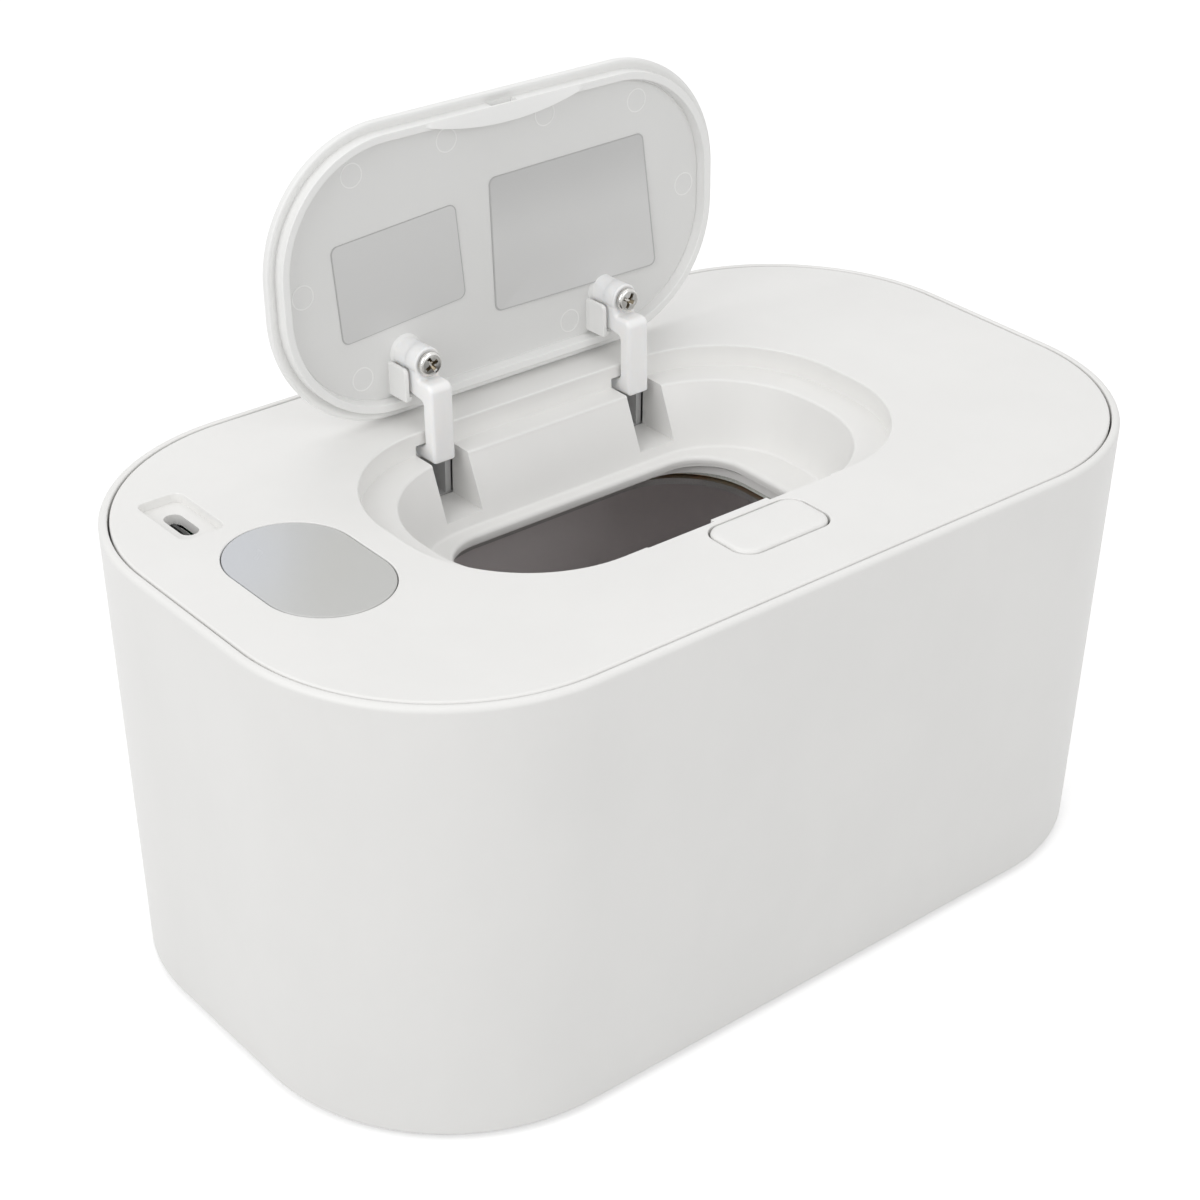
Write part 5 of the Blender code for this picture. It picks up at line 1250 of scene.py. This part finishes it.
class WARMER_OT_lid(bpy.types.Operator):
    """Make the open lid with its rib, bosses, keeper, ejector marks and bare labels"""

    bl_idname = "warmer.lid"
    bl_label = "Lid"

    def execute(self, context):
        casing, cover, lid = sizes(context, "casing", "cover", "lid")
        middle = -hinge_axis(casing, cover, lid)[0]
        place = open_lid_matrix(casing, cover, lid)
        top = lid.hinge_depth
        skin = top - lid.skin
        tip = skin - lid.rib_height
        rib_inner = lid.rib_inset + lid.rib
        foot = rib_inner + lid.rib_slope
        keeper = middle - cover.pocket_width / 2 + lid.side_gap + lid.keeper_inset

        def outline(inset):
            """The lid's edge moved inwards, a hair inside its solid's."""
            hair = 0.02 * MM
            return corner_outline(
                cover.pocket_length - 2 * lid.end_gap, cover.pocket_width - 2 * lid.side_gap,
                cover.pocket_corner - lid.end_gap, -inset - hair, (0.0, middle))

        rib_round = 0.22 * MM
        rib_edge = edge_arc(rib_round)
        line_width, line_depth = 0.4 * MM, 0.28 * MM
        rings = [(outline(foot + line_width), skin),
                 (outline(foot + line_width / 2), skin + line_depth),
                 (outline(foot), skin + line_depth)]
        rings += [(outline(rib_inner - inset), tip + drop) for inset, drop in rib_edge]
        rings += [(outline(lid.rib_inset + inset), tip + drop) for inset, drop in rib_edge[::-1]]
        rings += self.bead(lid, outline, skin)
        rings += [(outline(inset), top - drop) for inset, drop in edge_arc(lid.top_round)]
        piece = loft("lid_moulding", rings)
        carve(piece, self.additions(lid, middle, keeper, skin), "UNION")
        carve(piece, self.cuts(lid, keeper, skin))
        paint = self.zones(piece, lid, outline(rib_inner), skin)
        move_mesh(piece, place)
        finish_piece(piece, "lid", "lid", ["lid_shell"])
        paint_faces(piece, ("lid_floor", "arm"), paint)
        for name, corners in label_corners.items():
            self.make_label(name, np.array(corners) * MM + (0.0, middle), skin, place)
        return {"FINISHED"}

    def bead(self, lid, outline, skin):
        """From the rib's foot over the lid's edge: a quarter wave up to the crown, then a quarter
        circle down to the side."""
        crown = lid.bead_round + 0.15 * MM
        t = np.linspace(0.0, 1.0, 8)
        insets = lid.rib_inset + (crown - lid.rib_inset) * t
        depths = lid.bead_groove * np.cos(t * QUARTER_TURN) ** 2
        wave = np.column_stack((insets, depths))
        return [(outline(inset), skin + depth)
                for inset, depth in np.concatenate((wave, edge_arc(lid.bead_round)[::-1]))]

    def additions(self, lid, middle, keeper, skin):
        """Screw bosses with their stop tabs, the keeper and the raised rings of the ejector
        marks."""
        root = skin + 1.0 * MM
        mark = skin - 0.06 * MM
        pieces = []
        for centre in (-lid.hinge_spread / 2, lid.hinge_spread / 2):
            pieces.append(self.boss(lid, centre, skin, root))
            pieces += self.stop_tab(lid, centre, skin, root)
        pieces.append(self.keeper_block(lid, keeper, skin, root))
        for x, y in ejector_marks:
            inner, outer = (circle_outline(radius * MM, (x * MM, y * MM + middle))
                            for radius in (2.32, 2.58))
            pieces.append(loft("mark", [(inner, root), (inner, mark), (outer, mark), (outer, root)],
                               ends=False))
        return pieces

    def boss(self, lid, centre, skin, root):
        """Round boss with a small chamfer at its end and a flared foot."""
        radius = lid.boss_radius
        end = skin - lid.boss_height
        chamfer = 0.08 * MM
        flare = ((0.0, 0.7), (0.2, 0.4), (0.6, 0.05))
        profile = [(radius - chamfer, end), (radius, end + chamfer)]
        profile += [(radius + out * MM, skin - above * MM) for out, above in flare]
        profile.append((profile[-1][0], root))
        return turned("boss", profile, (centre, -lid.arm_reach))

    def stop_tab(self, lid, centre, skin, root):
        """Thin wall beside a boss with a foot that reaches behind it, their edges rounded."""
        wall, wall_round, start_round = 1.0 * MM, 0.5 * MM, 1.2 * MM
        height, foot_height = 5.9 * MM, 4.5 * MM
        foot_width, foot_reach, corner_reach = 1.0 * MM, 3.2 * MM, 0.6 * MM
        gap, set_back, length = 0.7 * MM, 1.2 * MM, 7.2 * MM
        sunk, soft = 0.05 * MM, 0.25 * MM
        right = centre - lid.arm_width / 2 - gap
        left = right - wall
        start = set_back - lid.arm_reach
        end = start + length
        side = rounded_path(
            [(start, root), (start, skin - height), (end, skin - height), (end, root)],
            (0.0, start_round, wall_round, 0.0))
        parts = [prism("tab_wall", side, left, right, "X")]
        for drop, reach in ((foot_height, foot_reach), (height, corner_reach)):
            parts.append(block("tab_foot", (left + sunk, end - foot_width, skin - drop),
                               (right + reach, end, root)))
        for part in parts:
            round_edges(part, soft, 3)
        return parts

    def bar_face(self, lid, skin):
        """Height of the keeper's underside, a hair over the rib's tip."""
        return skin - lid.rib_height - 0.05 * MM

    def keeper_block(self, lid, front, skin, root):
        """Thick front of the rib: in each slice along the lid, a shallow parabola rises from the bar
        to the crest. A parabola over the keeper's width says how far the crest reaches, and both
        ends rise over a short slope."""
        half = lid.keeper_width / 2
        rib_middle = front - lid.keeper_inset + lid.rib_inset + lid.rib / 2
        heel = 0.1 * MM
        part = np.linspace(0.0, 1.0, 10)
        rings = []
        for x in half * np.cos(np.linspace(0.0, math.pi, 61)):
            bulge = 1 - (x / half) ** 2
            crest = rib_middle + lid.keeper_crown * bulge
            slope = min(1.0, (half - abs(x)) / lid.keeper_end)
            rise = lid.keeper_rise * (0.6 + 0.4 * bulge) * slope * part * (1.25 - 0.25 * part)
            y = np.concatenate(([front], front + (crest - front) * part, [crest + heel]))
            z = np.concatenate(([root], self.bar_face(lid, skin) - rise, [root]))
            rings.append(np.column_stack((np.full(len(y), x), y, z)))
        return loft_points("keeper_block", rings)

    def cuts(self, lid, front, skin):
        """The keeper's slot for the hook, and the screws' pilot holes."""
        half = lid.slot_width / 2
        slot_start, slot_sunk = front - 0.5 * MM, 0.45 * MM
        pilot_radius, pilot_end = 1.4 * MM, skin - 0.7 * MM
        slot = block(
            "slot", (-half, slot_start, self.bar_face(lid, skin) + lid.keeper_bar_height),
            (half, front + lid.slot_depth, skin + slot_sunk))
        return [slot, *(
            bore((side * lid.hinge_spread / 2, -lid.arm_reach), pilot_radius,
                 skin - lid.boss_height - overrun, pilot_end) for side in (-1, 1))]

    def zones(self, piece, lid, rib_inner, skin):
        """Each face's finish: 1 on the darker floor inside the rib, 2 on the bosses and else 0."""
        near, boss_margin, boss_foot = 0.02 * MM, 0.1 * MM, skin - 0.55 * MM
        centres = face_centres(piece)
        upright = np.array([abs(face.normal.z) > 0.9 for face in piece.data.polygons])
        floor = upright & (abs(centres[:, 2] - skin) < near) & within(centres, rib_inner)
        from_screw = np.hypot(abs(centres[:, 0]) - lid.hinge_spread / 2,
                              centres[:, 1] + lid.arm_reach)
        boss = (from_screw < lid.boss_radius + boss_margin) & (centres[:, 2] < boss_foot)
        return np.where(boss, 2, floor)

    def make_label(self, name, corners, skin, place):
        """Bare label: a thin sheet on rays from its middle, with a painted shadow on its outermost ring,
        and the right one's corner is lifted by a parabola of the distance from it."""
        front, back = 0.16 * MM, 0.04 * MM
        corner_round = 1.6 * MM
        lifted = 16 * MM
        lift = 0.9 * MM if name == "label_right" else 0.0
        edge_shadow_start = 0.985
        edge = rounded_path(corners, (corner_round,) * 4, 8)
        middle = edge.mean(axis=0)
        rays = np.append(np.linspace(0.04, edge_shadow_start, 23), 1.0)
        grid = middle + (edge - middle) * rays[:, None, None]
        away = np.linalg.norm(grid - corners[2], axis=-1) / lifted
        face = skin - lift * np.clip(1 - away, 0.0, 1.0) ** 2
        rings = [np.column_stack(row) for row in zip(grid, face - front)]
        rings += [np.column_stack(row) for row in zip(grid[::-1], face[::-1] - back)]
        piece = loft_points(name, rings)
        # painted shadow: the faces outside the last inner ring get the darker edge finish
        rim = ~within(face_centres(piece), middle + (edge - middle) * edge_shadow_start)
        move_mesh(piece, place)
        finish_piece(piece, "lid", name, sharp=60.0)
        paint_faces(piece, ("label_edge_shadow",), rim)


class WARMER_OT_arms(bpy.types.Operator):
    """Make the two goose-neck arms and the screws that hold them to the lid"""

    bl_idname = "warmer.arms"
    bl_label = "Arms"

    def execute(self, context):
        casing, cover, lid = sizes(context, "casing", "cover", "lid")
        place = open_lid_matrix(casing, cover, lid)
        eye_top = lid.hinge_depth - lid.skin - lid.boss_height + overlap
        eye_foot = eye_top - 3.5 * MM
        eye_radius, eye_soft = 3.2 * MM, 0.3 * MM
        hub_radius, hub_tail = 2.8 * MM, 1.5 * MM
        pin_radius, hole_radius = 1.5 * MM, 1.4 * MM
        head_radius, shank_length = 2.7 * MM, 7.1 * MM
        half = lid.arm_width / 2
        for number, (name, side) in enumerate((("left", -1), ("right", 1)), start=1):
            centre = side * lid.hinge_spread / 2
            at_screw = (centre, -lid.arm_reach)
            arm = self.neck(f"arm_{name}", lid, centre, eye_top, eye_foot)
            eye = turned("eye", [
                (eye_radius - eye_soft, eye_foot), (eye_radius, eye_foot + eye_soft),
                (eye_radius, eye_top)], at_screw)
            hub = prism("hub", circle_outline(hub_radius), centre - half - hub_tail,
                        centre + half, "X")
            carve(arm, [eye, hub], "UNION")
            hole = bore(at_screw, hole_radius, eye_foot - overrun, eye_top + overrun)
            pin = prism("pin", circle_outline(pin_radius, sides=small_sides),
                        centre - cover.notch_width, centre + cover.notch_width, "X")
            carve(arm, [hole, pin])
            move_mesh(arm, place)
            finish_piece(arm, "lid", "arm", [f"hinge_arm_{name}"])
            seat = Matrix.Translation((*at_screw, eye_foot - seat_gap))
            turn = Matrix.Rotation(0.5 * side, 4, "Z")
            make_screw(f"lid_screw_head_{name}", head_radius, shank_length, place @ seat @ turn,
                       "lid", f"lid_screw_{number}")
        return {"FINISHED"}

    def neck(self, name, lid, centre, eye_top, eye_foot):
        """Goose neck: its side view carried along X, moved inwards towards both faces by a quarter
        circle. The points run from the eye round the outside to the hinge and back inside."""
        soft = 0.8 * MM
        smallest = 0.02 * MM
        under, foot = -5.45 * MM, -8.75 * MM
        back, hub_front, hub_back = -16.2 * MM, 1.1 * MM, -2.0 * MM
        side_view = np.array([
            (-lid.arm_reach, eye_top), (-lid.arm_reach, eye_foot), (back, eye_foot), (back, foot),
            (hub_front, foot), (hub_front, 0.0), (hub_back, 0.0), (hub_back, under),
            (-11.9 * MM, under), (-12.7 * MM, eye_top)])
        radii = np.array([0.0, 0.0, 0.6, 1.7, 0.5, 0.0, 0.0, 1.2, 0.8, 0.9]) * MM
        turns = turn_signs(side_view)

        def outline(inset):
            rounded = np.where(radii > 0.0, np.maximum(radii - turns * inset, smallest), 0.0)
            return rounded_path(inset_path(side_view, inset), rounded)

        arc = edge_arc(soft, 8)
        half = lid.arm_width / 2
        rings = [(outline(inset), centre - half + drop) for inset, drop in arc[::-1]]
        rings += [(outline(inset), centre + half - drop) for inset, drop in arc]
        neck = loft(name, rings)
        lay_along_x(neck)
        return neck


class WARMER_OT_inner_parts(bpy.types.Operator):
    """Give the inner parts of the frame, which keep their shapes, their finishes"""

    bl_idname = "warmer.inner_parts"
    bl_label = "Inner parts"

    def execute(self, context):
        kinds = {
            "steel": ("cover_screw", "heater_screw", "board_screw", "bracket_screw", "hinge_pin"),
            "spring": ("torsion_spring", "latch_spring"),
            "bracket": ("hinge_bracket",),
            "cover": ("latch_slide", "display_module"),
            "black": ("temperature_sensor", "control_chip", "usb_tongue"),
            "board": ("control_board",),
        }
        for finish, starts in kinds.items():
            for name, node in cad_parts.items():
                if name.startswith(starts):
                    node.data.materials.clear()
                    node.data.materials.append(finishes[finish])
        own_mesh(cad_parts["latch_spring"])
        return {"FINISHED"}


class WARMER_OT_stage(bpy.types.Operator):
    """Make the floor, the studio lights and the camera"""

    bl_idname = "warmer.stage"
    bl_label = "Stage"

    def execute(self, context):
        scene = context.scene
        self.make_floor()
        self.make_surround(scene)
        self.make_lamps(scene)
        self.make_camera(scene, scene.warmer_stage)
        scene.view_settings.view_transform = "Standard"
        return {"FINISHED"}

    def make_floor(self):
        """Pale floor that the camera and reflections see as white, with the object's shadow."""
        half = 1.3
        floor = block("floor", (-half, -half, -20 * MM), (half, half, -0.2 * MM))
        paint = Paint("floor", 0.9, specular=0.0)
        shown = paint.shown()
        paint.set(
            Base_Color=paint.mix(shown, (0.62, 0.62, 0.62), (0.86, 0.86, 0.86)),
            Emission_Color=paint.mix(shown, (0.0, 0.0, 0.0), (1.0, 1.0, 1.0)),
            Emission_Strength=0.4)
        floor.data.materials.append(paint.material)

    def make_surround(self, scene):
        """Even light from all round, which the camera and reflections see as white."""
        white = (1.0, 1.0, 1.0, 1.0)
        scene.world = bpy.data.worlds.new("studio")
        scene.world.use_nodes = True
        tree = scene.world.node_tree
        tree.nodes.clear()
        sky = Shading(tree)
        even, bright = (
            sky.node("ShaderNodeBackground", {}, {"Color": white, "Strength": strength})
            for strength in (scene.warmer_stage.ambient, 1.0))
        light = sky.node("ShaderNodeMixShader", {}, {0: sky.shown(), 1: even, 2: bright})
        sky.fill(tree.nodes.new("ShaderNodeOutputWorld").inputs["Surface"], light)

    def make_lamps(self, scene):
        """A broad lamp overhead and softer ones at the left and the front, all aimed at the tub."""
        aim = Vector((0.0, 0.0, 0.05))
        lamps = (
            ("overhead", (0.15, 0.25, 0.95), 0.9, 1.8),
            ("left softbox", (-0.98, -0.08, 0.72), 0.95, 5.2),
            ("front softbox", (0.15, -1.0, 0.55), 0.7, 2.4))
        for name, place, width, power in lamps:
            lamp = bpy.data.lights.new(name, "AREA")
            lamp.shape = "SQUARE"
            lamp.size = width
            lamp.energy = power
            holder = bpy.data.objects.new(name, lamp)
            scene.collection.objects.link(holder)
            holder.location = place
            holder.rotation_euler = (aim - Vector(place)).to_track_quat("-Z", "Y").to_euler()

    def make_camera(self, scene, stage):
        """Camera fitted to the photograph: a turn about three axes, then a shift of the frame."""
        azimuth, elevation, roll = stage.camera_azimuth, stage.camera_elevation, stage.camera_roll
        back = Vector((math.sin(azimuth) * math.cos(elevation),
                       -math.cos(azimuth) * math.cos(elevation), math.sin(elevation)))
        level_right = Vector((math.cos(azimuth), math.sin(azimuth), 0.0))
        level_up = back.cross(level_right)
        right = level_right * math.cos(roll) + level_up * math.sin(roll)
        up = level_up * math.cos(roll) - level_right * math.sin(roll)
        data = bpy.data.cameras.new("camera")
        data.sensor_width = 36.0
        data.lens = 74.87
        data.shift_x = -0.0459
        data.shift_y = 0.0471
        camera = bpy.data.objects.new("camera", data)
        scene.collection.objects.link(camera)
        camera.matrix_world = (
            Matrix.Translation((stage.camera_x, stage.camera_y, stage.camera_z))
            @ Matrix((right, up, back)).transposed().to_4x4())
        scene.camera = camera


class WARMER_PT_panel(bpy.types.Panel):
    """Sizes, colours and steps of the wipe warmer"""

    bl_idname = "WARMER_PT_panel"
    bl_label = "Wipe Warmer"
    bl_space_type = "VIEW_3D"
    bl_region_type = "UI"
    bl_category = "Wipe Warmer"

    def draw(self, context):
        for name in setting_groups:
            box = self.layout.box()
            group = getattr(context.scene, name)
            for key in group.__annotations__:
                box.prop(group, key)
        for operator in operators:
            self.layout.operator(operator.bl_idname)


setting_groups = {
    "warmer_casing": CasingSettings,
    "warmer_cover": CoverSettings,
    "warmer_fittings": FittingSettings,
    "warmer_lid": LidSettings,
    "warmer_finish": FinishSettings,
    "warmer_stage": StageSettings,
}
operators = (
    WARMER_OT_casing, WARMER_OT_tank, WARMER_OT_cover, WARMER_OT_lower_cover,
    WARMER_OT_fittings, WARMER_OT_lid, WARMER_OT_arms, WARMER_OT_inner_parts, WARMER_OT_stage)


def register():
    for group in setting_groups.values():
        bpy.utils.register_class(group)
    for operator in operators:
        bpy.utils.register_class(operator)
    bpy.utils.register_class(WARMER_PT_panel)
    for name, group in setting_groups.items():
        setattr(bpy.types.Scene, name, bpy.props.PointerProperty(type=group))


def unregister():
    for name in setting_groups:
        delattr(bpy.types.Scene, name)
    bpy.utils.unregister_class(WARMER_PT_panel)
    for operator in reversed(operators):
        bpy.utils.unregister_class(operator)
    for group in reversed(list(setting_groups.values())):
        bpy.utils.unregister_class(group)


def main():
    register()
    make_finishes(bpy.context.scene.warmer_finish)
    for operator in operators:
        step = operator.bl_idname.split(".")[1]
        getattr(bpy.ops.warmer, step)()


if __name__ == "__main__":
    main()
